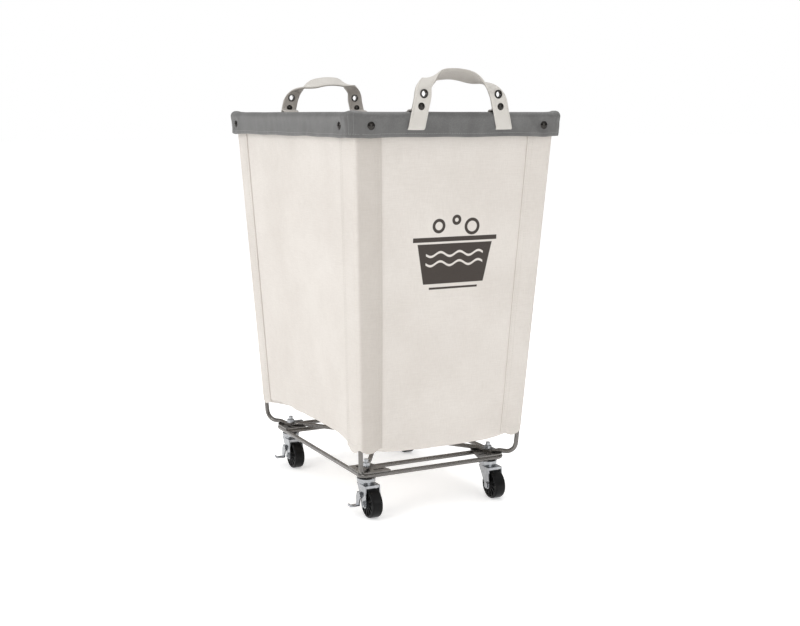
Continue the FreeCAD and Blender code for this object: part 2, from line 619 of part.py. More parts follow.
SHOE_LOW, SHOE_HIGH = 27.0, 29.0
lever_in = -LEG_OUT - 0.3
lever_out = lever_in - 2.0
shoe = turned([(SHOE_LOW, 0), (SHOE_HIGH, 0), (SHOE_HIGH, 22.0), (SHOE_LOW, 22.0)], (lever_out, -TRAIL, WHEEL_R), ALONG_X)
SHOE_FROM, SHOE_TO = 16.0, 34.0


def wedge(start, stop):
    """A pie slice about the axle, to keep one stretch of the brake shoe."""
    points = [axle_at]
    for degrees in (start, stop):
        angle = math.radians(degrees)
        points.append((axle_at[0] + 60 * math.cos(angle), axle_at[1] + 60 * math.sin(angle)))
    return plate_x(points, -30, 30)


TAB_OUT = -31.0
lever_outline = [(-14.0, 38.5), (-12.5, 42.0), (-9.0, 43.2), (-4.0, 42.0), (1.5, 39.0), (6.0, 33.0), (6.5, 20.0),
                 (5.5, 16.5), (-4.5, 16.5), (-5.0, 22.0), (-9.0, 31.5), (-13.0, 34.5)]
lever = fuse(
    plate_x(lever_outline, lever_out, lever_in),
    shoe.common(wedge(SHOE_FROM, SHOE_TO)),
    box((TAB_OUT, -4.5, 16.5), (lever_in, 5.5, 18.5)),
    cylinder(2.2, (TAB_OUT, -4.5, 18.7), (TAB_OUT, 5.5, 18.7)),
)
lever = lever.cut(cylinder(PIN_R + 0.05, (-30, PIN_Y, PIN_Z), (0, PIN_Y, PIN_Z)))
pin = fuse(
    cylinder(PIN_R, (lever_out - 0.3, PIN_Y, PIN_Z), (-LEG_IN, PIN_Y, PIN_Z)),
    cylinder(4.0, (lever_out - 1.8, PIN_Y, PIN_Z), (lever_out - 0.3, PIN_Y, PIN_Z)),
)


def placed(shape, spot, placement=None):
    copy = shape.copy()
    if placement is not None:
        copy.Placement = placement.multiply(copy.Placement)
    copy.translate(spot)
    return copy


spots = {name: Vec(sx * STEM_X, sy * STEM_Y, 0) for name, (sx, sy) in corners.items()}
save("stem_nuts", *[placed(nut, spot) for spot in spots.values()])
save("stem_spacers", *[placed(spacer, spot) for spot in spots.values()])
for name, spot in spots.items():
    save("caster_stem_" + name, placed(stem, spot))
    save("bearing_balls_" + name, *[placed(ball, spot) for ball in balls])
    save("caster_fork_" + name, placed(braked_fork if name in braked else fork, spot))
    save("wheel_" + name, placed(wheel, spot, on_axle))
    save("wheel_bush_" + name, placed(bush, spot, on_axle))
    save("axle_" + name, placed(axle, spot, on_axle))
    if name in braked:
        save("brake_lever_" + name, placed(lever, spot))
        save("brake_pin_" + name, placed(pin, spot))
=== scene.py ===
# %% [markdown]
# # A rolling laundry cart
# The cart is a deep canvas bag that hangs from a rod ring, two crossing hoops that carry the
# ring, and a base ring on four swivel casters. The metal was designed as solids, and those come
# in as the frame. What is soft, the bag, its sleeves, the vinyl rim and the webbing handles, is
# made here, cell by cell, in the same place and in metres.

# %% Bring in the frame
import math

import bmesh
import bpy
import numpy as np
from mathutils import Matrix, Vector, noise


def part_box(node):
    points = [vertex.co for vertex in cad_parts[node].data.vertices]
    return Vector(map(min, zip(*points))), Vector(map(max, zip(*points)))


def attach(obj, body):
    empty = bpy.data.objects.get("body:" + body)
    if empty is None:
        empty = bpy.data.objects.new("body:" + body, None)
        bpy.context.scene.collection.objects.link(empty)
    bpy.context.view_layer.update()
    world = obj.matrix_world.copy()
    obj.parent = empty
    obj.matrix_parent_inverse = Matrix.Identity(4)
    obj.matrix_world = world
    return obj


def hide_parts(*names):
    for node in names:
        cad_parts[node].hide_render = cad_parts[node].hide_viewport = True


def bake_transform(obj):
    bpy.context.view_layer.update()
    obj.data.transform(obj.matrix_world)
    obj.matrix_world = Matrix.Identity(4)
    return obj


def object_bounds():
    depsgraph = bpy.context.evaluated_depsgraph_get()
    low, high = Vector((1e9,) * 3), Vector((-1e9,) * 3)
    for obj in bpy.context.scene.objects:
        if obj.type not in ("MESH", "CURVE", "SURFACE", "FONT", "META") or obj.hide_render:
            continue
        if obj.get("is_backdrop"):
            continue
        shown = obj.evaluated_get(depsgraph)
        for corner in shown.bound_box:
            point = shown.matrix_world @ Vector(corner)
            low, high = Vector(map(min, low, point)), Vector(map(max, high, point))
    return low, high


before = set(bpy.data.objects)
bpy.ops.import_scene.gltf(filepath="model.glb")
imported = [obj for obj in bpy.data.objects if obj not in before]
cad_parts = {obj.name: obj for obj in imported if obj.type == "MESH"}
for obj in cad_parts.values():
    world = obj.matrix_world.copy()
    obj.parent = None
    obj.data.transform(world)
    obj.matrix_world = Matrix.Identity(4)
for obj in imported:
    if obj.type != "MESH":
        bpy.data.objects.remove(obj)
frame_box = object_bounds()

# %% [markdown]
# ## Camera
# A long lens at the height of the rim shows the cart as a catalogue does: the rim is a straight
# line, and the bag tapers away below it. The camera is placed in metres and radians, so
# that it can be checked and moved one number at a time.

# %% Camera
camera_data = bpy.data.cameras.new("studio_camera")
camera_data.lens = 55.53
camera_data.sensor_width = 36.0
camera = bpy.data.objects.new("studio_camera", camera_data)
camera.location = (-1.0032, -2.0167, 0.679)
camera.rotation_euler = (math.pi / 2 - 0.1596, 0, -0.4739)
bpy.context.scene.collection.objects.link(camera)
bpy.context.scene.camera = camera
print("camera", round(camera.location.length, 2), "m from the cart")

# %% [markdown]
# ## Node trees
# Every finish, and the light around the cart, is a small tree of nodes. Writing a tree link by
# link hides the idea behind the plumbing, so a thin wrapper round a socket lets sums be written as
# sums: each operator adds its Math node, and one method adds any other node.


# %% A socket that can be used in sums
class Wire:
    """A socket in a tree of nodes. Operators on it add Math nodes."""

    def __init__(self, tree, socket=None):
        self.tree = tree
        self.socket = socket

    def node(self, kind, settings=None, sockets=None, out=0):
        """A new node: its settings are set first, then its sockets get values or wires.

        The setting "stops" holds a colour ramp's places and colours.
        """
        new = self.tree.nodes.new(kind)
        for name, value in (settings or {}).items():
            if name == "stops":
                while len(new.color_ramp.elements) < len(value):
                    new.color_ramp.elements.new(1.0)
                for stop, (place, colour) in zip(new.color_ramp.elements, value):
                    stop.position = place
                    stop.color = colour
            else:
                setattr(new, name, value)
        for name, value in (sockets or {}).items():
            if isinstance(value, Wire):
                self.tree.links.new(value.socket, new.inputs[name])
            else:
                new.inputs[name].default_value = value
        return Wire(self.tree, new.outputs[out] if new.outputs else None)

    def math(self, operation, *values):
        return self.node("ShaderNodeMath", {"operation": operation}, dict(enumerate(values)))

    def __add__(self, other):
        return self.math("ADD", self, other)

    __radd__ = __add__

    def __sub__(self, other):
        return self.math("SUBTRACT", self, other)

    def __rsub__(self, other):
        return self.math("SUBTRACT", other, self)

    def __mul__(self, other):
        return self.math("MULTIPLY", self, other)

    __rmul__ = __mul__

    def __truediv__(self, other):
        return self.math("DIVIDE", self, other)

    def __abs__(self):
        return self.math("ABSOLUTE", self)

    def sine(self):
        return self.math("SINE", self)

    def lower(self, other):
        return self.math("MINIMUM", self, other)

    def higher(self, other):
        return self.math("MAXIMUM", self, other)

    def fade(self, low, high):
        """0 below low and 1 above high, with a soft step between."""
        return self.node("ShaderNodeMapRange", {"interpolation_type": "SMOOTHSTEP"},
                         {"Value": self, "From Min": low, "From Max": high})

    def parts(self):
        """The three numbers of a vector."""
        return [self.node("ShaderNodeSeparateXYZ", {}, {"Vector": self}, i) for i in range(3)]

    def stretched(self, x, y, z):
        """This vector, with each of its numbers scaled."""
        return self.node("ShaderNodeVectorMath", {"operation": "MULTIPLY"}, {0: self, 1: (x, y, z)})

    def cloudy(self, scale, detail=2.0, rough=0.5):
        """Soft noise from 0 to 1 at this vector."""
        return self.node("ShaderNodeTexNoise", {},
                         {"Vector": self, "Scale": scale, "Detail": detail, "Roughness": rough})

    def cells(self, scale, feature="F1"):
        """Distance to the nearest of many scattered points."""
        return self.node("ShaderNodeTexVoronoi", {"feature": feature}, {"Vector": self, "Scale": scale})

    def mixed(self, colour_a, colour_b):
        """Colour a where this is 0, and b where it is 1."""
        return self.node("ShaderNodeMix", {"data_type": "RGBA"},
                         {0: self, 6: colour_a, 7: colour_b}, out=2)


def tint(red, green, blue):
    """A colour for a socket."""
    return (red, green, blue, 1.0)


print("a Wire adds a node for each sum")

# %% [markdown]
# ## Light
# Catalogue light is soft and comes from everywhere, as in a white tent, with one large lamp on the
# left, so that the left side is the bright one. The tent is darker towards its foot, which gives
# the metal something to reflect. A tent's backdrop is lit on its own, so what the camera sees of it
# directly is plain white.


# %% Soft lamps
def lamp(name, place, aim, size, power):
    """A square soft box at a place, turned to a point."""
    data = bpy.data.lights.new(name, "AREA")
    data.size = size
    data.energy = power
    light = bpy.data.objects.new(name, data)
    light.location = place
    light.rotation_euler = (Vector(aim) - Vector(place)).to_track_quat("-Z", "Y").to_euler()
    bpy.context.scene.collection.objects.link(light)


lamp("key", (-3.2, -0.9, 1.9), (0, 0, 0.35), 1.6, 34)
lamp("front_fill", (0.6, -3.6, 1.5), (0, 0, 0.4), 2.0, 25)
lamp("overhead", (0.3, 0.4, 3.2), (0, 0, 0.5), 1.6, 24)
lamp("side_sheen", (-2.3, 3.2, 1.1), (0, 0, 0.5), 1.8, 22)
print("four lamps")

# %% White tent
tent = bpy.data.worlds.new("white_tent")
tent.use_nodes = True
tent.node_tree.nodes.clear()
air = Wire(tent.node_tree)
upness = air.node("ShaderNodeTexCoord").parts()[2] * 0.5 + 0.5
wall = upness.node("ShaderNodeValToRGB",
                   {"stops": ((0.5, tint(0.1, 0.1, 0.1)), (0.62, tint(0.34, 0.34, 0.34)),
                              (1.0, tint(1.0, 1.0, 1.0)))}, {"Fac": upness})
seen = air.node("ShaderNodeLightPath")
backdrop = seen.mixed(wall, tint(1.0, 1.0, 1.0))
glow = air.node("ShaderNodeBackground", {}, {"Color": backdrop, "Strength": 1.0})
air.node("ShaderNodeOutputWorld", {}, {"Surface": glow})
bpy.context.scene.world = tent
bpy.context.scene.view_settings.view_transform = "Standard"
print("a white tent of", len(tent.node_tree.nodes), "nodes")

# %% [markdown]
# ## Finishes
# A finish is a recipe: it gets the place on the surface, in metres, and says what each socket of
# the shader gets there. One function turns a recipe into a material, with its relief going through
# a Bump node. Straps bend and twist, so theirs reads the cloth coordinates of the mesh instead.


# %% From a recipe to a material
def finish(name, recipe, uses_cloth=False):
    """A material. The recipe gets the place on the surface and returns the shader's sockets."""
    material = bpy.data.materials.new(name)
    material.use_nodes = True
    material.node_tree.nodes.clear()
    start = Wire(material.node_tree)
    if uses_cloth:
        place = start.node("ShaderNodeUVMap", {"uv_map": "cloth"})
    else:
        place = start.node("ShaderNodeTexCoord", out="Object")
    sockets = recipe(place)
    height, depth = sockets.pop("relief")
    sockets["Normal"] = start.node("ShaderNodeBump", {}, {"Height": height, "Distance": depth})
    shader = start.node("ShaderNodeBsdfPrincipled", {}, sockets)
    start.node("ShaderNodeOutputMaterial", {}, {"Surface": shader})
    print("finish", name, len(material.node_tree.nodes), "nodes")
    return material


# %% [markdown]
# ## Canvas
# Natural cotton canvas is a plain weave of thick, uneven yarns. Each thread goes over and under
# the next, so the product of two sine waves gives its relief. Yarns swell and thin along their
# length, which shows as faint streaks both ways, and the cloth is never quite one colour.

# %% Weave
THREAD = 0.0011
WEAVE_DEPTH = 0.00035


def woven(across, up, place):
    """Relief of a plain weave, and the streaks of its uneven yarns."""
    wander = place.cloudy(260, 2) * 0.8
    over = (across * (math.pi / THREAD) + wander).sine() * (up * (math.pi / THREAD) + wander).sine()
    level = place.stretched(60, 60, 900).cloudy(1.0, 3, 0.6)
    upright = place.stretched(900, 900, 60).cloudy(1.0, 3, 0.6)
    return over * 0.5 + 0.5, level * 0.5 + upright * 0.5


def canvas_colour(place, weave, streaks, light, dark):
    """Canvas from its yarns' two shades, with a painted shade in the gaps between threads."""
    blotches = place.cloudy(9, 3, 0.55)
    # The weave's term darkens the gaps between threads: a painted shade in the weave's hollows.
    shade = (streaks - 0.5) * 1.1 + (blotches - 0.5) * 0.7 + (weave - 0.5) * 0.25 + 0.5
    return shade.fade(0.05, 0.95).mixed(tint(*dark), tint(*light))


def canvas_sockets(colour, weave, streaks):
    """What all canvas shares: it is rough, hardly shines, and has a light nap."""
    return {"Base Color": colour, "Roughness": 0.93 - streaks * 0.1, "Specular IOR Level": 0.2,
            "Sheen Weight": 0.08, "Sheen Roughness": 0.6,
            "relief": (weave * 0.6 + streaks * 0.6, WEAVE_DEPTH)}


print("threads every", THREAD, "m")


# %% Plain canvas
def plain_canvas(light, dark):
    """A recipe for canvas between two shades."""
    def recipe(place):
        x, y, z = place.parts()
        weave, streaks = woven(x + y, z, place)
        return canvas_sockets(canvas_colour(place, weave, streaks, light, dark), weave, streaks)
    return recipe


CANVAS_LIGHT = (0.74, 0.70, 0.655)
CANVAS_DARK = (0.62, 0.575, 0.53)
STRIP_LIGHT = (0.72, 0.68, 0.635)
STRIP_DARK = (0.6, 0.555, 0.51)
inside_canvas = finish("inside_canvas", plain_canvas(CANVAS_LIGHT, CANVAS_DARK))
sleeve_canvas = finish("sleeve_canvas", plain_canvas(STRIP_LIGHT, STRIP_DARK))

# %% [markdown]
# The lap of the front left sleeve on the front panel is painted darker than the rest: a painted
# shade where that puffed sleeve faces away from the lamps. The corner leans as the bag does, so the edge of
# the painted shade is a line in x and z, and a Mix node that multiplies keeps the weave's own colours under
# it.

# %% Sleeve canvas with a painted shade
EDGE_X = 0.1532
EDGE_SLOPE = 0.0523


def shaded_sleeve_recipe(place):
    """Sleeve canvas with a painted shade right of the leaning corner."""
    sockets = plain_canvas(STRIP_LIGHT, STRIP_DARK)(place)
    x, _, z = place.parts()
    # The front lap right of the corner edge is painted darker: a painted shade, not a worn cloth.
    painted_shade_mask = (x + z * EDGE_SLOPE + EDGE_X).fade(0.003, 0.01)
    sockets["Base Color"] = place.node(
        "ShaderNodeMix", {"data_type": "RGBA", "blend_type": "MULTIPLY"},
        {0: painted_shade_mask, 6: sockets["Base Color"], 7: tint(0.83, 0.82, 0.81)}, 2)
    return sockets


corner_shade_canvas = finish("corner_shade_canvas", shaded_sleeve_recipe)

# %% [markdown]
# ## The printed wash tub
# The front panel carries a screen print. A drawing in a material can be made of distances: each
# shape is the depth inside its own edge, the lower of two depths is where both hold, the higher is
# either, and the ink is wherever the result is above zero. It stays sharp at any size.

# %% Depth inside simple shapes
LINE = 0.0052


def bar(x, z, centre_x, centre_z, half_x, half_z):
    """Depth inside an upright rectangle."""
    return (half_x - abs(x - centre_x)).lower(half_z - abs(z - centre_z))


def bubble(x, z, centre_x, centre_z, radius):
    """Depth inside a drawn ring."""
    across = (x - centre_x) * (x - centre_x) + (z - centre_z) * (z - centre_z)
    return LINE * 0.5 - abs(across.math("SQRT", across) - radius)


print("drawn lines", LINE, "m wide")

# %% Draw the wash tub
TUB_X = 0.006
TUB_LOW = 0.402
TUB_TOP = 0.472
TUB_FOOT = 0.057
TUB_FLARE = 0.2
RIPPLE_LONG = 0.036
RIPPLE_HIGH = 0.0036
RIPPLE_HALF = 0.0019
RIPPLES_BELOW = (0.0205, 0.036)
BUBBLES = ((-0.032, 0.4985, 0.0095), (0.0015, 0.5075, 0.0060), (0.031, 0.4960, 0.0115))
INK_EDGE = 0.0005


def wash_tub(x, z):
    """1 where the ink of the wash tub is: a filled tub, two ripples left bare, a rim and bubbles."""
    x = x - TUB_X
    body = ((z - TUB_LOW) * TUB_FLARE + TUB_FOOT - abs(x)).lower(z - TUB_LOW).lower(TUB_TOP - z)
    wave = (x * (2 * math.pi / RIPPLE_LONG)).sine() * RIPPLE_HIGH
    for below in RIPPLES_BELOW:
        bare = (RIPPLE_HALF - abs(TUB_TOP - below - z + wave)).lower(0.054 - abs(x))
        body = body.lower(0.0 - bare)
    rim = bar(x, z, 0.0, TUB_TOP + 0.0042, 0.079, 0.0038)
    foot = bar(x, z, 0.0, TUB_LOW - 0.0075, 0.046, 0.0018)
    drawing = body.lower(TUB_TOP - 0.003 - z).higher(rim).higher(foot)
    for centre_x, centre_z, radius in BUBBLES:
        drawing = drawing.higher(bubble(x, z, centre_x, centre_z, radius))
    return (drawing / INK_EDGE + 0.5).lower(1.0).higher(0.0)


print("a tub with", len(RIPPLES_BELOW), "ripples and", len(BUBBLES), "bubbles")

# %% Print it on the front panel
def printed_canvas(place):
    """Canvas with the wash tub's ink wherever the cloth is at the front."""
    x, y, z = place.parts()
    weave, streaks = woven(x + y, z, place)
    cloth = canvas_colour(place, weave, streaks, CANVAS_LIGHT, CANVAS_DARK)
    ink = wash_tub(x, z) * (0.0 - y).fade(0.19, 0.2) * (0.97 - (weave - 0.5) * 0.08)
    sockets = canvas_sockets(ink.mixed(cloth, tint(0.035, 0.026, 0.021)), weave, streaks)
    sockets["Roughness"] = sockets["Roughness"] - ink * 0.12
    sockets["relief"] = (sockets["relief"][0] - ink * 0.15, WEAVE_DEPTH)
    return sockets


panel_canvas = finish("printed_canvas", printed_canvas)

# %% [markdown]
# ## Webbing and thread
# Webbing is woven thick and narrow, so its rows show: two sine waves along the cloth coordinates
# make them, and fine noise makes the fuzz. The inner face of each strap is painted darker, a painted
# shade for the underside that faces away from the lamps. Thread is twisted, which at this size is only a fine
# unevenness.


# %% Webbing and thread
RIB = 0.0017
ROW = 0.0021


def ribbed_webbing(place):
    """The outer face of the webbing."""
    across, along, _ = place.parts()
    ribs = (along * (2 * math.pi / RIB)).sine()
    rows = (across * (2 * math.pi / ROW)).sine()
    fuzz = place.cloudy(900, 3, 0.6)
    weave = ribs * rows * 0.5 + 0.5
    shade = weave * 0.35 + fuzz * 0.45 + place.cloudy(30, 2) * 0.3
    return {"Base Color": shade.fade(0.1, 0.95).mixed(tint(0.6, 0.57, 0.52), tint(0.74, 0.71, 0.665)),
            "Roughness": 0.9 - fuzz * 0.1, "Sheen Weight": 0.3, "Sheen Roughness": 0.5,
            "relief": (weave + fuzz * 0.4, 0.0005)}


def shaded_inner_webbing(place):
    """The inner face of the webbing, painted darker as a painted shade."""
    sockets = ribbed_webbing(place)
    fuzz = place.cloudy(70, 3, 0.6)
    # The inner face is painted darker: a painted shade for the underside that faces away from the lamps.
    sockets["Base Color"] = fuzz.mixed(tint(0.43, 0.4, 0.365), tint(0.54, 0.51, 0.47))
    return sockets


def sewing_thread(dark, light, dry):
    """A recipe for thread between two shades."""
    def recipe(place):
        twist = place.cloudy(1600, 2)
        return {"Base Color": twist.mixed(tint(*dark), tint(*light)), "Roughness": dry - twist * 0.15,
                "relief": (twist, 0.0001)}
    return recipe


webbing = finish("webbing", ribbed_webbing, uses_cloth=True)
webbing_inside_shade = finish("webbing_inside_shade", shaded_inner_webbing, uses_cloth=True)
thread = finish("canvas_thread", sewing_thread((0.5, 0.47, 0.42), (0.66, 0.63, 0.58), 0.75))
rim_thread = finish("rim_thread", sewing_thread((0.2, 0.2, 0.195), (0.3, 0.3, 0.295), 0.6))

# %% [markdown]
# ## Vinyl
# The rim is cloth with a coat of grey vinyl, pressed with a leather grain. Scattered cells make
# such a grain well: large soft ones for its bumps and small sharp ones for its pores. Slow noise
# gives the folds of a coat that has been bent, in its relief and as a painted shade that darkens and
# lightens the colour over them, and the top of the rim is painted paler, a painted highlight where
# the light falls on it.


# %% Grained vinyl
def grained_vinyl(place):
    """Grey vinyl, with a painted highlight along the top and painted shade over its folds."""
    warped = place.cells(620, "SMOOTH_F1")
    pores = place.cells(1500)
    folds = place.stretched(1, 1, 0.6).cloudy(34, 4, 0.6)
    # The top of the roll is painted paler: a painted highlight where the light falls on it.
    painted_top_highlight = place.parts()[2].fade(0.676, 0.6845) * place.cloudy(60, 3)
    # The folds' noise also lightens and darkens the colour: a painted shade over the folds.
    shade = folds * 0.6 + warped * 0.35
    colour = shade.fade(0.15, 0.85).mixed(tint(0.085, 0.084, 0.082), tint(0.165, 0.164, 0.16))
    return {"Base Color": (painted_top_highlight * 0.6).mixed(colour, tint(0.22, 0.22, 0.215)),
            "Roughness": 0.44 + folds * 0.16 - painted_top_highlight * 0.12,
            "relief": (warped * 0.7 + pores * 0.3 + folds * 0.8, 0.0004)}


vinyl = finish("vinyl", grained_vinyl)

# %% [markdown]
# ## Metal and moulded parts
# The rods have a satin powder coat, which dries with a faint orange-peel skin. The casters are
# zinc plated, bright but clouded. Rivets and eyelets are nearly black, so only what they mirror
# shows. Each of these is one noise for colour and another for the skin, so one recipe maker serves
# most of them, and only zinc and the wheels' plastic are written out.


# %% A coat of one colour
def coat(dark, light, patch, metallic, roughness, spread, skin, depth):
    """A recipe for a coat between two shades, patchy at one scale and with a skin at another."""
    def recipe(place):
        patches = place.cloudy(*patch)
        surface = patches if skin is None else place.cloudy(*skin)
        return {"Base Color": patches.mixed(tint(*dark), tint(*light)), "Metallic": metallic,
                "Roughness": roughness + patches * spread, "relief": (surface, depth)}
    return recipe


rod_coat = finish("powder_coat", coat((0.13, 0.122, 0.115), (0.21, 0.2, 0.19), (22, 4, 0.6),
                                      0.75, 0.2, 0.12, (420, 2), 0.00012))
nickel = finish("dark_nickel", coat((0.028, 0.026, 0.024), (0.06, 0.057, 0.053), (160, 3),
                                    1.0, 0.12, 0.12, None, 0.00005))
spacer_steel = finish("black_steel", coat((0.02, 0.02, 0.02), (0.05, 0.05, 0.048), (120, 3),
                                          0.6, 0.35, 0.2, None, 0.00008))
ball_steel = finish("bright_steel", coat((0.6, 0.6, 0.61), (0.75, 0.75, 0.76), (400, 2),
                                         1.0, 0.12, 0.1, None, 0.00002))
bush_white = finish("moulded_white", coat((0.72, 0.72, 0.7), (0.56, 0.55, 0.52), (200, 4, 0.6),
                                          0.0, 0.4, 0.2, None, 0.00005))


# %% Zinc and moulded black
def zinc_plate(place):
    """Bright zinc, clouded, with the fine lines of pressing."""
    spangle = place.cells(240)
    cloud = place.cloudy(55, 4, 0.65)
    drawn = place.stretched(2500, 60, 60).cloudy(1.0, 2)
    shade = cloud * 0.7 + spangle * 0.4
    return {"Base Color": shade.mixed(tint(0.23, 0.24, 0.255), tint(0.48, 0.49, 0.505)), "Metallic": 1.0,
            "Roughness": 0.1 + cloud * 0.12 + drawn * 0.06, "relief": (drawn * 0.4 + cloud, 0.00008)}


def moulded_black(place):
    """The wheels' plastic, with a little dust and a fine grain."""
    dust = place.cloudy(45, 5, 0.7)
    grain = place.cloudy(1100, 2)
    return {"Base Color": dust.fade(0.4, 0.9).mixed(tint(0.004, 0.004, 0.0042), tint(0.012, 0.0115, 0.011)),
            "Roughness": 0.22 + dust * 0.16, "Specular IOR Level": 0.16, "relief": (grain, 0.00005)}


zinc = finish("zinc_plate", zinc_plate)
wheel_black = finish("moulded_black", moulded_black)

# %% [markdown]
# ## Dress the frame
# Rods, brackets, casters and rivets keep the frame's own shapes. Only their material slots are
# filled, by name, with the parts that repeat at each corner named by a loop.

# %% Finishes for the frame's own solids
CORNERS = ("front_left", "front_right", "rear_left", "rear_right")
BRAKED = ("front_left", "rear_left")


def dress(material, names, repeats=(), corners=CORNERS):
    """Gives a finish to solids of the frame, and to the solids that repeat at these corners."""
    for name in list(names) + [repeat + corner for repeat in repeats for corner in corners]:
        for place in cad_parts[name].material_slots:
            place.material = material


dress(rod_coat, ("rim_ring", "base_ring", "cross_rail_front", "cross_rail_rear", "frame_hoop_upper",
                 "frame_hoop_lower"), ("corner_bracket_",))
dress(nickel, ("rim_rivets", "handle_rivets", "handle_eyelets_front", "handle_eyelets_rear"))
dress(zinc, ("stem_nuts",), ("caster_stem_", "caster_fork_", "axle_"))
dress(zinc, (), ("brake_lever_", "brake_pin_"), BRAKED)
dress(spacer_steel, ("stem_spacers",))
dress(ball_steel, (), ("bearing_balls_",))
dress(wheel_black, (), ("wheel_",))
dress(bush_white, (), ("wheel_bush_",))
print("frame dressed")

# %% [markdown]
# ## Tools for sewn pieces
# Cloth is a grid of points with a front, a back and closed edges. One small class gathers the
# points and faces of a piece, with its cloth coordinates in metres, so that a piece can be built
# of several panels and its stitches and still be one mesh.

# %% A piece being sewn
MM = 0.001


class Sewing:
    """The points, faces, finishes and cloth coordinates of one piece."""

    def __init__(self):
        self.points = []
        self.faces = []
        self.finish = []
        self.cloth = []

    def add(self, points, faces, cloth, finish_number=0):
        start = len(self.points)
        self.points.extend(tuple(float(value) for value in point) for point in points)
        self.faces.extend(tuple(start + corner for corner in face) for face in faces)
        self.finish.extend([finish_number] * len(faces))
        self.cloth.extend(cloth)

    def sewn(self, name, *finishes):
        """The finished object, smooth except at its cut edges."""
        mesh = bpy.data.meshes.new(name)
        mesh.from_pydata(self.points, [], self.faces)
        mesh.polygons.foreach_set("material_index", self.finish)
        mesh.uv_layers.new(name="cloth").data.foreach_set("uv", np.ravel(self.cloth))
        for material in finishes:
            mesh.materials.append(material)
        shell = bmesh.new()
        shell.from_mesh(mesh)
        bmesh.ops.recalc_face_normals(shell, faces=shell.faces)
        shell.to_mesh(mesh)
        shell.free()
        mesh.shade_smooth()
        mesh.set_sharp_from_angle(angle=math.radians(48))
        piece = bpy.data.objects.new(name, mesh)
        bpy.context.scene.collection.objects.link(piece)
        print("sewn", name, len(self.points), "points")
        return piece


def unit(vectors):
    """The same directions, each of length one."""
    return vectors / np.maximum(np.linalg.norm(vectors, axis=-1, keepdims=True), 1e-12)


def facing(surface, loop):
    """Outward directions of a grid whose columns run anticlockwise and whose rows go up."""
    if loop:
        across = np.roll(surface, -1, 1) - np.roll(surface, 1, 1)
    else:
        across = np.gradient(surface, axis=1)
    return unit(np.cross(across, np.gradient(surface, axis=0)))


def cloth_panel(sewing, surface, thick, loop=False, back_finish=0):
    """Adds a cloth to the piece: its front, its back and its edges. The back may have its own finish."""
    rows, columns = surface.shape[:2]
    count = rows * columns
    back = surface - facing(surface, loop) * thick
    lengths = np.linalg.norm(np.diff(surface, axis=1, append=surface[:, :1]), axis=2).mean(0)
    across = np.concatenate([[0.0], np.cumsum(lengths)])
    up = np.concatenate([[0.0], np.cumsum(np.linalg.norm(np.diff(surface, axis=0), axis=2).mean(1))])
    faces = []
    cloth = []
    finishes = []

    def quad(spots, flip, shift):
        order = spots if not flip else spots[::-1]
        faces.append([r * columns + c % columns + s for (r, c), s in zip(order, shift)])
        cloth.extend((across[c], up[r]) for r, c in order)
        finishes.append(back_finish if min(shift) > 0 else 0)

    steps = columns if loop else columns - 1
    for r in range(rows - 1):
        for c in range(steps):
            spots = [(r, c), (r, c + 1), (r + 1, c + 1), (r + 1, c)]
            quad(spots, False, (0, 0, 0, 0))
            quad(spots, True, (count, count, count, count))
    for r in (0, rows - 1):
        for c in range(steps):
            quad([(r, c), (r, c + 1), (r, c + 1), (r, c)], False, (0, 0, count, count))
    if not loop:
        for c in (0, columns - 1):
            for r in range(rows - 1):
                quad([(r, c), (r + 1, c), (r + 1, c), (r, c)], False, (0, 0, count, count))
    sewing.add(np.concatenate([surface.reshape(-1, 3), back.reshape(-1, 3)]), faces, cloth)
    sewing.finish[-len(faces):] = finishes


# %% [markdown]
# Stitches are too large to leave to a bump: each is a bead of thread that stands on the cloth with
# its two ends sunk in. A row is the same bead of ten points at even steps along a line, all made
# at once with arrays.

# %% Rows of stitches
STITCH = 2.9 * MM
STITCH_GAP = 1.3 * MM


def stitch_row(sewing, line, out, finish_number, thick=0.42 * MM):
    """Adds a row of stitches along a line of points. Each is a short bead, sunk at its ends."""
    line = np.asarray(line, float)
    out = np.asarray(out, float)
    run = np.concatenate([[0.0], np.cumsum(np.linalg.norm(np.diff(line, axis=0), axis=1))])
    count = int((run[-1] - STITCH) / (STITCH + STITCH_GAP))
    middles = (np.arange(count) + 0.5) * (STITCH + STITCH_GAP)

    def at(distances, values):
        return np.stack([np.interp(distances, run, values[:, i]) for i in range(3)], 1)

    centre = at(middles, line)
    ahead = unit(at(middles + 0.3 * STITCH, line) - at(middles - 0.3 * STITCH, line))
    lift = unit(at(middles, out))
    side = np.cross(ahead, lift)
    beads = [centre - ahead * STITCH * 0.5 - lift * thick * 0.3]
    for reach in (-0.27, 0.27):
        for a, b in ((1, 0.1), (0, 0.95), (-1, 0.1), (0, -0.4)):
            beads.append(centre + ahead * STITCH * reach + side * thick * a + lift * thick * b)
    beads.append(centre + ahead * STITCH * 0.5 - lift * thick * 0.3)
    points = np.stack(beads, 1).reshape(-1, 3)
    one = []
    for k in range(4):
        following = (k + 1) % 4
        one.append((0, 1 + following, 1 + k))
        one.append((1 + k, 1 + following, 5 + following, 5 + k))
        one.append((5 + k, 5 + following, 9))
    faces = [[10 * number + corner for corner in face] for number in range(count) for face in one]
    sewing.add(points, faces, [(0.0, 0.0)] * sum(len(face) for face in faces), finish_number)


def ripple(x, y, z):
    """A soft random height from -1 to 1."""
    return noise.noise(Vector((x, y, z)))


ripples = np.vectorize(ripple)
print("a stitch is", STITCH, "m long")

# %% [markdown]
# ## The bag's shape
# The bag is a tapering box with rounded corners. A ring of spots describes its outline once, as
# corner centres and outward directions, and any height is the same ring at another size. The
# taper is that of the uprights, which stand just inside each corner.

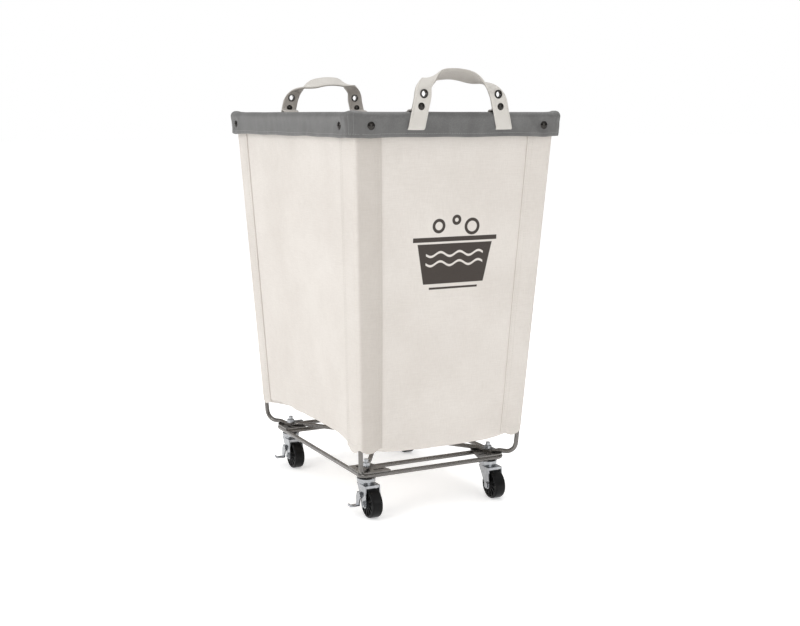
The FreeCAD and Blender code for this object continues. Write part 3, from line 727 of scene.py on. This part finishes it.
# %% Outline and taper
LEAN_LOW = np.array([153.0, 215.5, 110.0]) * MM
LEAN_HIGH = np.array([181.0, 258.0, 645.0]) * MM
RIM_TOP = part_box("rim_binding")[1].z
RIM_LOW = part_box("rim_binding")[0].z
RIM_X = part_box("rim_binding")[1].x
RIM_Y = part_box("rim_binding")[1].y


def upright(z):
    """How far the centre of an upright is from the middle of the cart, in x and y."""
    lean = LEAN_HIGH - LEAN_LOW
    share = np.minimum((z - LEAN_LOW[2]) / lean[2], 1.0)
    return LEAN_LOW[0] + lean[0] * share, LEAN_LOW[1] + lean[1] * share


def outline_spots(side, bend):
    """Spots round a rounded rectangle: where the corner's centre is, and which way is out."""
    spots = []
    for out_x, out_y in ((0, -1), (1, 0), (0, 1), (-1, 0)):
        for t in np.linspace(-1, 1, side):
            spots.append((out_x - out_y * t, out_y + out_x * t, out_x, out_y))
        corner = (out_x - out_y, out_y + out_x)
        start = math.atan2(out_y, out_x)
        for turn in np.linspace(0, math.pi / 2, bend + 1)[1:-1]:
            spots.append((*corner, math.cos(start + turn), math.sin(start + turn)))
    return np.array(spots)


def outline(spots, half_x, half_y, corner):
    """Points of the outline at this size."""
    x = spots[:, 0] * (half_x - corner) + spots[:, 2] * corner
    y = spots[:, 1] * (half_y - corner) + spots[:, 3] * corner
    return np.stack([x, y], 1)


def step(value):
    """A smooth step from 0 to 1."""
    value = np.clip(value, 0.0, 1.0)
    return value * value * (3 - 2 * value)


print("rim", round(RIM_X * 2, 3), "by", round(RIM_Y * 2, 3), "m, top at", round(RIM_TOP, 3))

# %% [markdown]
# ## The bag
# Canvas is stiff, so the panels hang nearly flat between the uprights, with long shallow waves,
# short puckers where the rim gathers them, and a soft roll at the bottom instead of a corner. The
# roll sags under the front and back panels and is drawn up under the sides.

# %% Hem and laps
BAG_OUT = 4.3 * MM
BAG_CORNER = 30.0 * MM
TUCKED_CORNER = 8.0 * MM
BAG_TOP = 671.0 * MM
BAG_THICK = 2.0 * MM
BAG_FLOOR = 110.5 * MM
ROLL = 9.0 * MM
HEM_CORNER = 122.5 * MM
HEM_SAG = 8.5 * MM
HEM_RISE = 13.5 * MM


def lap(z):
    """Width of a sleeve's lap at a height."""
    return (44.0 + 7.0 * (z - 0.12) / 0.53) * MM


def hem_height(spots):
    """Lowest point of the bag under each spot: it sags at front and rear and rises at the sides."""
    x, y, out_x, out_y = spots.T
    sag = HEM_SAG * (1 - np.abs(x) ** 4) * np.abs(out_y)
    rise = HEM_RISE * (1 - np.abs(y) ** 6) * np.abs(out_x)
    return HEM_CORNER - sag + rise


print("laps", round(lap(0.12), 4), "m wide at the hem and", round(lap(0.65), 4), "m at the rim")

# %% Waves in the panels
WAVES = 3.2 * MM
SHORT_WAVES = 1.1 * MM
SLACK = 0.9 * MM
PUCKERS = 2.4 * MM
ROLL_FOLDS = 2.6 * MM
INWARD = 0.6 * MM
TUCK_FROM = 638.0 * MM
TUCK_OVER = 18.0 * MM


def bag_bulge(spots, run, z, free):
    """How far the cloth stands out of its flat panel, between the laps and below the rim."""
    face = np.round(spots[:, 2] * 3 + spots[:, 3])
    waves = (WAVES * ripples(run * 7.0, z * 3.0, face * 5.0)
             + SHORT_WAVES * ripples(run * 17.0, z * 9.0, face * 7.0 + 3)
             + SLACK * ripples(run * 9.0 + z * 11.0, z * 22.0 - run * 5.0, face + 11.0))
    puckers = PUCKERS * ripples(run * 62.0, z * 4.0, face * 3.0) * np.exp((z - RIM_LOW) / 0.035)
    folds = ROLL_FOLDS * ripples(run * 34.0, z * 7.0, face * 2.0 + 9) * np.exp((0.12 - z) / 0.05)
    below_rim = step((RIM_LOW + 0.004 - z) / 0.02)
    return np.clip(free * (waves + puckers + folds - INWARD) * below_rim, -0.005, 0.006)


def bag_wall(spots, z):
    """The wall's points at these heights, with the cloth's waves."""
    half_x, half_y = upright(z)
    half_x = half_x + BAG_OUT
    half_y = half_y + BAG_OUT
    tucked = step((z - TUCK_FROM) / TUCK_OVER)
    flat = outline(spots, half_x, half_y, BAG_CORNER + (TUCKED_CORNER - BAG_CORNER) * tucked)
    x, y = flat.T
    free_x = step((half_x - lap(z) - np.abs(x)) / 0.045)
    free_y = step((half_y - lap(z) - np.abs(y)) / 0.045)
    free = np.where(np.abs(spots[:, 3]) > 0.9, free_x, np.where(np.abs(spots[:, 2]) > 0.9, free_y, 0.0))
    bulge = bag_bulge(spots, x + y, z, free)
    return np.column_stack([flat + spots[:, 2:] * bulge[:, None], z])


print("waves of", WAVES, "m and puckers of", PUCKERS, "m")

# %% Rows of the bag
WALL_ROWS = 118
FLOOR_SHARES = (0.02, 0.12, 0.25, 0.4, 0.55, 0.7, 0.82, 0.91, 0.965)
ROLL_ANGLES = (0, 18, 36, 54, 72)

bag_spots = outline_spots(64, 12)
hem = hem_height(bag_spots)
edge = bag_wall(bag_spots, hem + ROLL)
inner = edge[:, :2] - bag_spots[:, 2:] * ROLL
rows = []
for share in FLOOR_SHARES:
    sag = hem + (0.1125 - hem) * step((1 - share) * 2.2)
    sag = sag + ripples(inner[:, 0] * share * 14, inner[:, 1] * share * 14, 4.0) * 0.0014
    rows.append(np.column_stack([inner * share, np.maximum(sag, BAG_FLOOR)]))
for angle in np.radians(ROLL_ANGLES):
    inward = ROLL * (1 - math.sin(angle))
    rolled = hem + ROLL * (1 - math.cos(angle))
    rows.append(np.column_stack([edge[:, :2] - bag_spots[:, 2:] * inward, rolled]))
for share in np.linspace(0, 1, WALL_ROWS):
    rows.append(bag_wall(bag_spots, (hem + ROLL) * (1 - share) + BAG_TOP * share))
bag_surface = np.array(rows)
print("bag of", bag_surface.shape[0], "rows and", bag_surface.shape[1], "columns")

# %% Sew the bag
bag_sewing = Sewing()
cloth_panel(bag_sewing, bag_surface, BAG_THICK, loop=True, back_finish=1)
around = len(bag_spots)
patch = bag_surface[0]
bag_sewing.add(np.concatenate([patch, patch + (0, 0, BAG_THICK)]),
               [list(range(around)), list(range(around, 2 * around))[::-1]],
               [(p[0], p[1]) for p in patch] + [(p[0], p[1]) for p in patch[::-1]])
bag = bag_sewing.sewn("canvas_bag_cloth", panel_canvas, inside_canvas)
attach(bag, "root")
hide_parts("canvas_bag")

# %% [markdown]
# ## The sleeves
# Each upright runs in a sleeve: a strip of the same canvas folded round the rod and sewn flat to
# both panels, with two rows of stitches a side and a turned end at the bottom, where the rod
# comes out.

# %% A sleeve's section
SLEEVE_OUT = 5.8 * MM
SLEEVE_THICK = 1.3 * MM
SLEEVE_LOW = 124.0 * MM
SLEEVE_HIGH = 652.0 * MM
SLEEVE_BEND = 7.5 * MM
EDGE_WANDER = 1.6 * MM
LAP_POINTS = 14
BEND_POINTS = 9


def lap_points(z, width, seed):
    """Reach from the corner and lift of each point of a lap, from its edge to the bend."""
    points = []
    for share in np.linspace(0, 1, LAP_POINTS):
        swell = math.sin(math.pi * share) ** 1.3
        wrinkle = 0.9 * ripple(z * 13.0, share * 2.4, seed) + 0.35 * ripple(z * 45.0, share * 3, seed)
        points.append((width + (SLEEVE_BEND - width) * share, max(swell * (0.7 + wrinkle), -0.2) * MM))
    return points


print("a sleeve has", 2 * LAP_POINTS + BEND_POINTS - 2, "columns")


# %% Rows of a sleeve
def sleeve_surface(sx, sy, seed):
    """Rows of a sleeve, from one lap's edge round the rod to the other's."""
    grid = []
    for z in np.concatenate([[SLEEVE_LOW], np.linspace(SLEEVE_LOW + 0.003, SLEEVE_HIGH, 110)]):
        half_x, half_y = upright(z)
        half_x = half_x + SLEEVE_OUT
        half_y = half_y + SLEEVE_OUT
        width = lap(z) + EDGE_WANDER * ripple(z * 4.0, seed, 0)
        row = [(half_x + lift, half_y - reach, z) for reach, lift in lap_points(z, width, seed)]
        for angle in np.radians(np.linspace(0, 90, BEND_POINTS))[1:-1]:
            row.append((half_x - SLEEVE_BEND * (1 - math.cos(angle)),
                        half_y - SLEEVE_BEND * (1 - math.sin(angle)), z))
        width = lap(z) + EDGE_WANDER * ripple(z * 4.0, seed, 9)
        row += [(half_x - reach, half_y + lift, z) for reach, lift in lap_points(z, width, seed + 5)[::-1]]
        grid.append(row)
    grid = np.array(grid)
    end = np.abs(np.linspace(-1, 1, grid.shape[1]))
    drop = 0.0035 * np.cos(end * math.pi * 2.0) + 0.002 * ripples(end * 5, seed, 3)
    fading = np.clip(1 - (grid[:, :, 2] - SLEEVE_LOW) / 0.08, 0, 1)
    grid[:, :, 2] += drop[None, :] * fading
    grid = grid * np.array([sx, sy, 1])
    return grid if sx * sy > 0 else grid[:, ::-1]


# %% Sew the four sleeves
SIGNS = ((-1, -1), (1, -1), (-1, 1), (1, 1))
SEAM_LIFT = 0.05 * MM

for number, (name, (sx, sy)) in enumerate(zip(CORNERS, SIGNS)):
    surface = sleeve_surface(sx, sy, 3.7 * number + 1.3)
    out = facing(surface, False)
    lifted = surface + out * SEAM_LIFT
    sewing = Sewing()
    cloth_panel(sewing, surface, SLEEVE_THICK)
    for line in (1, -2, 3, -4):
        stitch_row(sewing, lifted[2:-1, line], out[2:-1, line], 1)
    stitch_row(sewing, lifted[3, 1:-1], out[3, 1:-1], 1)
    # The front left sleeve takes the canvas with the painted shade on its front lap.
    sleeve = sewing.sewn("sleeve_" + name, corner_shade_canvas if name == "front_left" else sleeve_canvas, thread)
    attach(sleeve, "root")
    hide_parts("corner_sleeve_" + name)

# %% [markdown]
# ## The vinyl rim
# A strip of coated cloth is folded over the rod ring and riveted through. It is round where it
# goes over the rod and hangs as a flat band on both sides. At each corner its ends are joined in
# a raised seam over the hooked end of the upright, which pushes it up, and each rivet pulls a
# dimple with small creases.

# %% The band's section
RIM_THICK = 1.4 * MM
RIM_CORNER = 22.0 * MM
RIM_WIDE = 16.5 * MM
ROLL_HIGH = 8.9
TOP_SHIFT = 1.3
RIVET_IN = 38.0 * MM
RIVET_Z = 661.5 * MM
SQUARE = 0.9
FAR_OFF = 0.1


def rim_section():
    """The band's section from the outer hem over the top: distance in from its outer face, height."""
    points = [(10.0, 645.6), (6.5, 644.0), (3.2, 643.3), (1.2, 643.2), (0.3, 644.2), (0.1, 646.5)]
    points += [(0.2, 649), (0.4, 652), (0.5, 655), (0.5, 658), (0.5, 661), (0.4, 664), (0.1, 667)]
    points += [(-0.5, 670)]
    wide = RIM_WIDE / MM
    middle = (wide - TOP_SHIFT) / 2
    for angle in np.radians(np.linspace(0, 180, 17)):
        points.append((middle - (wide - middle) * math.cos(angle),
                       RIM_TOP / MM - ROLL_HIGH + ROLL_HIGH * math.sin(angle)))
    points += [(wide - 0.1, z) for z in (670, 665, 660, 655, 650, 647)]
    points += [(wide - 0.4, 644.0), (wide - 1.2, 643.2)]
    return np.array(points) * MM


print("the band's section has", len(rim_section()), "points")

# %% Distances along the rim
rim_spots = outline_spots(120, 26)
edge = outline(rim_spots, RIM_X, RIM_Y, RIM_CORNER)
run = edge[:, 0] - edge[:, 1]
turned = np.degrees(np.arctan2(np.abs(rim_spots[:, 3]), np.abs(rim_spots[:, 2]))) - 45
on_corner = (np.abs(rim_spots[:, 0]) > 0.9999) & (np.abs(rim_spots[:, 1]) > 0.9999)
from_corner = np.where(np.abs(rim_spots[:, 3]) > SQUARE,
                       RIM_X - np.abs(edge[:, 0]), RIM_Y - np.abs(edge[:, 1]))
from_rivet = np.where(on_corner, FAR_OFF, from_corner - RIVET_IN)
from_seam = np.where(on_corner, np.abs(np.radians(turned)) * RIM_CORNER,
                     np.maximum(from_corner - RIM_CORNER, 0) + math.pi / 4 * RIM_CORNER)
print("the rim's corners have", int(on_corner.sum()), "columns")


def hump(distance, wide):
    """1 at a distance of zero, and a smooth fall to 0 over about this width."""
    return np.exp(-(distance / wide) ** 2)


# %% Relief of the rim
def rim_row(depth, height):
    """One row round the rim, with the rivets' dimples, the slack between them and the seams."""
    ring = outline(rim_spots, RIM_X - depth, RIM_Y - depth, max(RIM_CORNER - depth, 5.5 * MM))
    outer = depth < RIM_WIDE * 0.5
    hem_fold = outer and depth > 0.003 and height < 0.65
    hanging = step((0.668 - height) / 0.02)
    away = np.hypot(from_rivet, height - RIVET_Z)
    dimple = 0 if hem_fold or not outer else 1.5 * hump(away - 0.016, 0.007) - 0.5 * hump(away, 0.009)
    slack = ripples(run * 24.0, height * 14.0, 5.0 + 7.0 * outer) * 2.6 * hanging
    fine = ripples(run * 80.0, height * 40.0, 2.0) * 0.7
    seam = (1.5 * hump(from_seam, 0.0022) + 0.5 * hump(from_seam - 0.009, 0.004)) * (0.3 if hem_fold else 1.0)
    swollen = 1.7 * hump(from_seam, 0.02) * step((height - 0.645) / 0.02)
    push = dimple + (slack + fine) * (1 - hump(away, 0.016)) + seam + swollen
    push = push * (1 if outer else -0.35) * MM
    bump = 2.3 * hump(from_seam, 0.017) + 0.5 * ripples(run * 12.0, 1.0, 8.0)
    wavy = 1.4 * ripples(run * 15.0, 3.0, 1.0) - 0.8 * hump(from_rivet, 0.012)
    lift = (step((height - 0.668) / 0.012) * bump + hanging * outer * wavy) * MM
    return np.column_stack([ring + rim_spots[:, 2:] * push[:, None], height + lift])


# %% Sew the rim
HEM_LINE = 6
SEAM_ROWS = slice(6, 22)
SEAM_SIDES = (-3, 3)

rim_surface = np.array([rim_row(depth, height) for depth, height in rim_section()])
rim_out = facing(rim_surface, True)
rim_sewing = Sewing()
cloth_panel(rim_sewing, rim_surface, RIM_THICK, loop=True)
hem_row, hem_out = [np.concatenate([grid[HEM_LINE], grid[HEM_LINE][:1]]) for grid in (rim_surface, rim_out)]
stitch_row(rim_sewing, hem_row, hem_out, 1, 0.5 * MM)
for seam_column in np.flatnonzero(on_corner & (np.abs(turned) < 2.0)):
    for column in (seam_column + side for side in SEAM_SIDES):
        stitch_row(rim_sewing, rim_surface[SEAM_ROWS, column], rim_out[SEAM_ROWS, column], 1)
rim = rim_sewing.sewn("rim_vinyl", vinyl, rim_thread)
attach(rim, "root")
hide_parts("rim_binding")

# %% [markdown]
# ## The handles
# Each handle is webbing laid double. At its feet it wraps the rim: the outer ply goes down the
# outside and in through a slit, and the inner one comes up inside and over the top. The pair is
# riveted above the rim and arches over to the other leg. Between its legs it twists and leans in
# over the bag, so its underside shows. A strap is modelled directly, as a flat section carried
# along its path.

# %% Measures of a strap
HANDLE_X = 75.0 * MM
HANDLE_SLANT = 0.23
STRAP_WIDE = 30.0 * MM
PLY = 2.2 * MM
SEAM_Y = 275.3 * MM
LEG_TOP = 718.5 * MM
LEG_STEP = 3.0 * MM
ARCH_RISE = 33.0 * MM
ARCH_NARROW = 30.0 * MM
ARCH_LEAN = -19.0 * MM
ARCH_TWIST = math.radians(-121)
TWIST_SHARE = 0.36
GATHER = 0.36
UNEVEN = 4.5 * MM
MIRROR = np.array([-1.0, 1.0, 1.0])


def strap_x(z):
    """How far a leg's middle is from the cart's middle: the legs lean together."""
    return HANDLE_X - HANDLE_SLANT * (z - 0.683)


def turned_about(vector, axis, angle):
    """The vector turned about an axis."""
    return (vector * math.cos(angle) + np.cross(axis, vector) * math.sin(angle)
            + axis * np.dot(axis, vector) * (1 - math.cos(angle)))


# %% The arch
def arch_half():
    """Middles, widths, facings and thicknesses of the arch, from the right leg to the middle."""
    p0 = np.array([strap_x(LEG_TOP), SEAM_Y, LEG_TOP])
    p1 = p0 + np.array([-ARCH_NARROW, ARCH_LEAN, ARCH_RISE])
    p2 = p1 * MIRROR
    p3 = p0 * MIRROR
    spots = []
    for t in np.linspace(0, 0.5, 22)[1:]:
        u = 1 - t
        at = p0 * u ** 3 + p1 * 3 * u * u * t + p2 * 3 * u * t * t + p3 * t ** 3
        ahead = unit((p1 - p0) * u * u + (p2 - p1) * 2 * u * t + (p3 - p2) * t * t)
        face = np.array([0.0, 1.0, 0.0])
        face = unit(face - ahead * np.dot(ahead, face))
        twist = ARCH_TWIST * math.sin(min(t / TWIST_SHARE, 1.0) * math.pi / 2)
        face = turned_about(face, ahead, twist)
        gather = 1 - GATHER * math.exp(-((t - 0.09) / 0.045) ** 2)
        thick = PLY * (1 - 0.35 * math.sin(math.pi * t) ** 2)
        spots.append((at, np.cross(ahead, face) * gather, face, thick))
    return [np.array(part) for part in zip(*spots)]


print("the arch rises", round(arch_half()[0][-1][2] - LEG_TOP, 3), "m above its legs")

# %% A leg and its foot
OUTER_FOOT = ((261.5, 654.7), (266.0, 654.7), (270.5, 654.8), (273.6, 655.2), (275.6, 656.4), (276.4, 658.6))
INNER_FOOT = ((263.0, 654.6), (259.6, 654.9), (257.6, 656.2), (257.1, 658.6), (257.1, 663.0),
              (257.1, 669.0), (256.9, 676.0), (257.2, 680.0), (258.6, 683.0), (261.0, 685.0),
              (264.2, 685.9), (267.8, 685.9), (271.0, 686.4), (273.2, 687.9), (274.1, 690.2))


def leg(ply):
    """Middles, widths, facings and thicknesses of a leg, from its foot at the rim to its top."""
    foot = np.array(OUTER_FOOT if ply > 0 else INNER_FOOT) * MM
    climb = np.arange(foot[-1][1] + LEG_STEP, LEG_TOP, LEG_STEP)
    upright_part = np.column_stack([np.full(len(climb), SEAM_Y + ply * PLY / 2), climb])
    foot = np.concatenate([foot, upright_part])
    middles = np.column_stack([strap_x(foot[:, 1]), foot])
    ahead = unit(np.gradient(middles, axis=0))
    wide = np.tile((-1.0, 0.0, 0.0), (len(middles), 1))
    return middles, wide, unit(np.cross(wide, ahead)), np.full(len(middles), PLY)


def strap_half(ply):
    """Half of one ply, from the rim to the middle of the arch. The outer ply is 1, the inner -1."""
    at, wide, face, thick = arch_half()
    at = at + face * (ply * thick / 2)[:, None]
    lower = leg(ply)
    half = [np.concatenate(pair) for pair in zip(lower, (at, wide, face, thick))]
    last = len(lower[0])
    eased = slice(last - 4, last + 5)
    for _ in range(6):
        for values in half[:3]:
            softer = values[:-2] * 0.25 + values[1:-1] * 0.5 + values[2:] * 0.25
            values[eased] = softer[eased.start - 1:eased.stop - 1]
    return half


print("half a strap has", len(strap_half(1)[0]), "rows outside and", len(strap_half(-1)[0]), "inside")

# %% One ply of a strap
ACROSS = (-0.965, -0.7, -0.35, 0.0, 0.35, 0.7, 0.965)
SECTION = np.array([(a, 1.0) for a in ACROSS] + [(1.0, 0.5), (1.0, -0.5)]
                   + [(-a, -1.0) for a in ACROSS] + [(-1.0, -0.5), (-1.0, 0.5)])
HALF_WIDE = STRAP_WIDE / 2
CLOSE_FIT = 0.49
STITCH_LINES = (-0.8, 0.8)


def settled(middles, side, seed):
    """The path of a used strap: it sways a little, and its top has slid to one side."""
    lift = np.clip((middles[:, 2] - 0.705) / 0.03, 0, 1)
    sway = ripples(middles[:, 0] * 16, middles[:, 2] * 16, seed) * lift * 1.6 * MM
    slid = lift * UNEVEN * side
    return middles + np.column_stack([slid, sway, sway * 0.5 + slid * middles[:, 0] / HANDLE_X * 0.9])


def strap_faces(middles):
    """Faces and cloth coordinates of a section carried along these middles."""
    run = np.concatenate([[0.0], np.cumsum(np.linalg.norm(np.diff(middles, axis=0), axis=1))])
    rows = len(middles)
    columns = len(SECTION)
    faces = []
    cloth = []
    across = SECTION[:, 0] * HALF_WIDE
    for r in range(rows - 1):
        for c in range(columns):
            near = (c + 1) % columns
            corners = ((r, c), (r, near), (r + 1, near), (r + 1, c))
            faces.append([row * columns + column for row, column in corners])
            cloth += [(across[column], run[row]) for row, column in corners]
    for r in (0, rows - 1):
        faces.append([r * columns + c for c in range(columns)])
        cloth += [(across[c], run[r]) for c in range(columns)]
    return faces, cloth


def strap_ply(sewing, stitches, side, ply, seed):
    """Adds one ply of a strap to one piece, and the stitches along both its edges to another."""
    half = strap_half(ply)
    middles, wide, face = [np.concatenate([part, (part * MIRROR)[-2::-1]]) for part in half[:3]]
    thick = np.concatenate([half[3], half[3][-2::-1]])
    flip = np.array([1.0, side, 1.0])
    middles = settled(middles, side, seed) * flip
    wide = wide * flip
    face = face * flip
    points = (middles[:, None] + wide[:, None] * (SECTION[None, :, :1] * HALF_WIDE)
              + face[:, None] * (SECTION[None, :, 1:] * thick[:, None, None] * CLOSE_FIT))
    faces, cloth = strap_faces(middles)
    # The inner ply takes finish 2, the webbing with the painted shade.
    sewing.add(points.reshape(-1, 3), faces, cloth, 0 if ply > 0 else 2)
    above = slice(5, -5) if ply > 0 else slice(16, -16)
    for edge in STITCH_LINES:
        line = middles + wide * edge * HALF_WIDE + face * (thick * 0.5 * ply)[:, None]
        stitch_row(stitches, line[above], (face * ply)[above], 1, 0.38 * MM)


# %% [markdown]
# Each leg has an eyelet that can be seen through, so the webbing needs a real hole there. A
# Boolean modifier cuts it with a pin, and its result becomes the mesh. The plies touch each other
# in the arch, which the exact solver has to be told. The stitches are joined on afterwards, so
# that the cut doesn't have to deal with hundreds of beads.

# %% Punch and join
EYELET_Z = 711.3 * MM
EYELET_HOLE = 5.6 * MM
PIN_LONG = 30.0 * MM


def punch(piece, spots, radius):
    """Cuts a round hole through a piece at each spot, front to rear."""
    pins = bmesh.new()
    for spot in spots:
        stand = Matrix.Translation(spot) @ Matrix.Rotation(math.pi / 2, 4, "X")
        bmesh.ops.create_cone(pins, cap_ends=True, segments=40, radius1=radius, radius2=radius,
                              depth=PIN_LONG, matrix=stand)
    mesh = bpy.data.meshes.new("punch")
    pins.to_mesh(mesh)
    pins.free()
    cutter = bpy.data.objects.new("punch", mesh)
    bpy.context.scene.collection.objects.link(cutter)
    hole = piece.modifiers.new("hole", "BOOLEAN")
    hole.object = cutter
    hole.solver = "EXACT"
    hole.use_self = True
    bpy.context.view_layer.update()
    cut = piece.evaluated_get(bpy.context.evaluated_depsgraph_get())
    piece.data = bpy.data.meshes.new_from_object(cut)
    piece.modifiers.remove(hole)
    bpy.data.objects.remove(cutter)
    print("punched", len(spots), "holes in", piece.name)


def join(piece, other):
    """Moves another piece's mesh into this one."""
    both = bmesh.new()
    both.from_mesh(piece.data)
    both.from_mesh(other.data)
    both.to_mesh(piece.data)
    both.free()
    bpy.data.objects.remove(other)


# %% Sew both handles
for name, side in (("front", -1), ("rear", 1)):
    sewing = Sewing()
    stitches = Sewing()
    for ply in (1, -1):
        strap_ply(sewing, stitches, side, ply, 2.0 + side)
    strap = sewing.sewn("handle_" + name + "_webbing", webbing, thread, webbing_inside_shade)
    eyelets = [(across * strap_x(EYELET_Z), side * SEAM_Y, EYELET_Z) for across in (-1, 1)]
    punch(strap, eyelets, EYELET_HOLE)
    join(strap, stitches.sewn("handle_" + name + "_stitches", webbing, thread))
    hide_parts("handle_grip_" + name, "handle_feet_" + name)
    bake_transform(strap)

# %% [markdown]
# ## The floor
# A large pale sheet, bright enough to run into the white of the tent.


# %% Lay the floor
def pale_floor(place):
    mottle = place.cloudy(3, 2)
    return {"Base Color": mottle.mixed(tint(0.9, 0.9, 0.9), tint(0.93, 0.93, 0.93)),
            "Roughness": 0.9 - mottle * 0.05, "Emission Color": tint(1, 1, 1), "Emission Strength": 0.42,
            "relief": (mottle, 0.0)}


floor_mesh = bpy.data.meshes.new("studio_floor")
floor_mesh.from_pydata([(-30, -30, 0), (30, -30, 0), (30, 30, 0), (-30, 30, 0)], [], [(0, 1, 2, 3)])
floor_mesh.materials.append(finish("floor_paper", pale_floor))
floor = bpy.data.objects.new("studio_floor", floor_mesh)
bpy.context.scene.collection.objects.link(floor)
floor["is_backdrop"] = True

# %% [markdown]
# ## Measure and finish
# The soft pieces may stand a little proud of the solids they replace. The two boxes
# are written side by side so that they can be compared.

# %% Print the two boxes
shown_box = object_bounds()
boxes = {"frame": [list(corner) for corner in frame_box], "shown": [list(corner) for corner in shown_box]}
for name, (low, high) in boxes.items():
    print(name, [round(h - l, 4) for l, h in zip(low, high)])
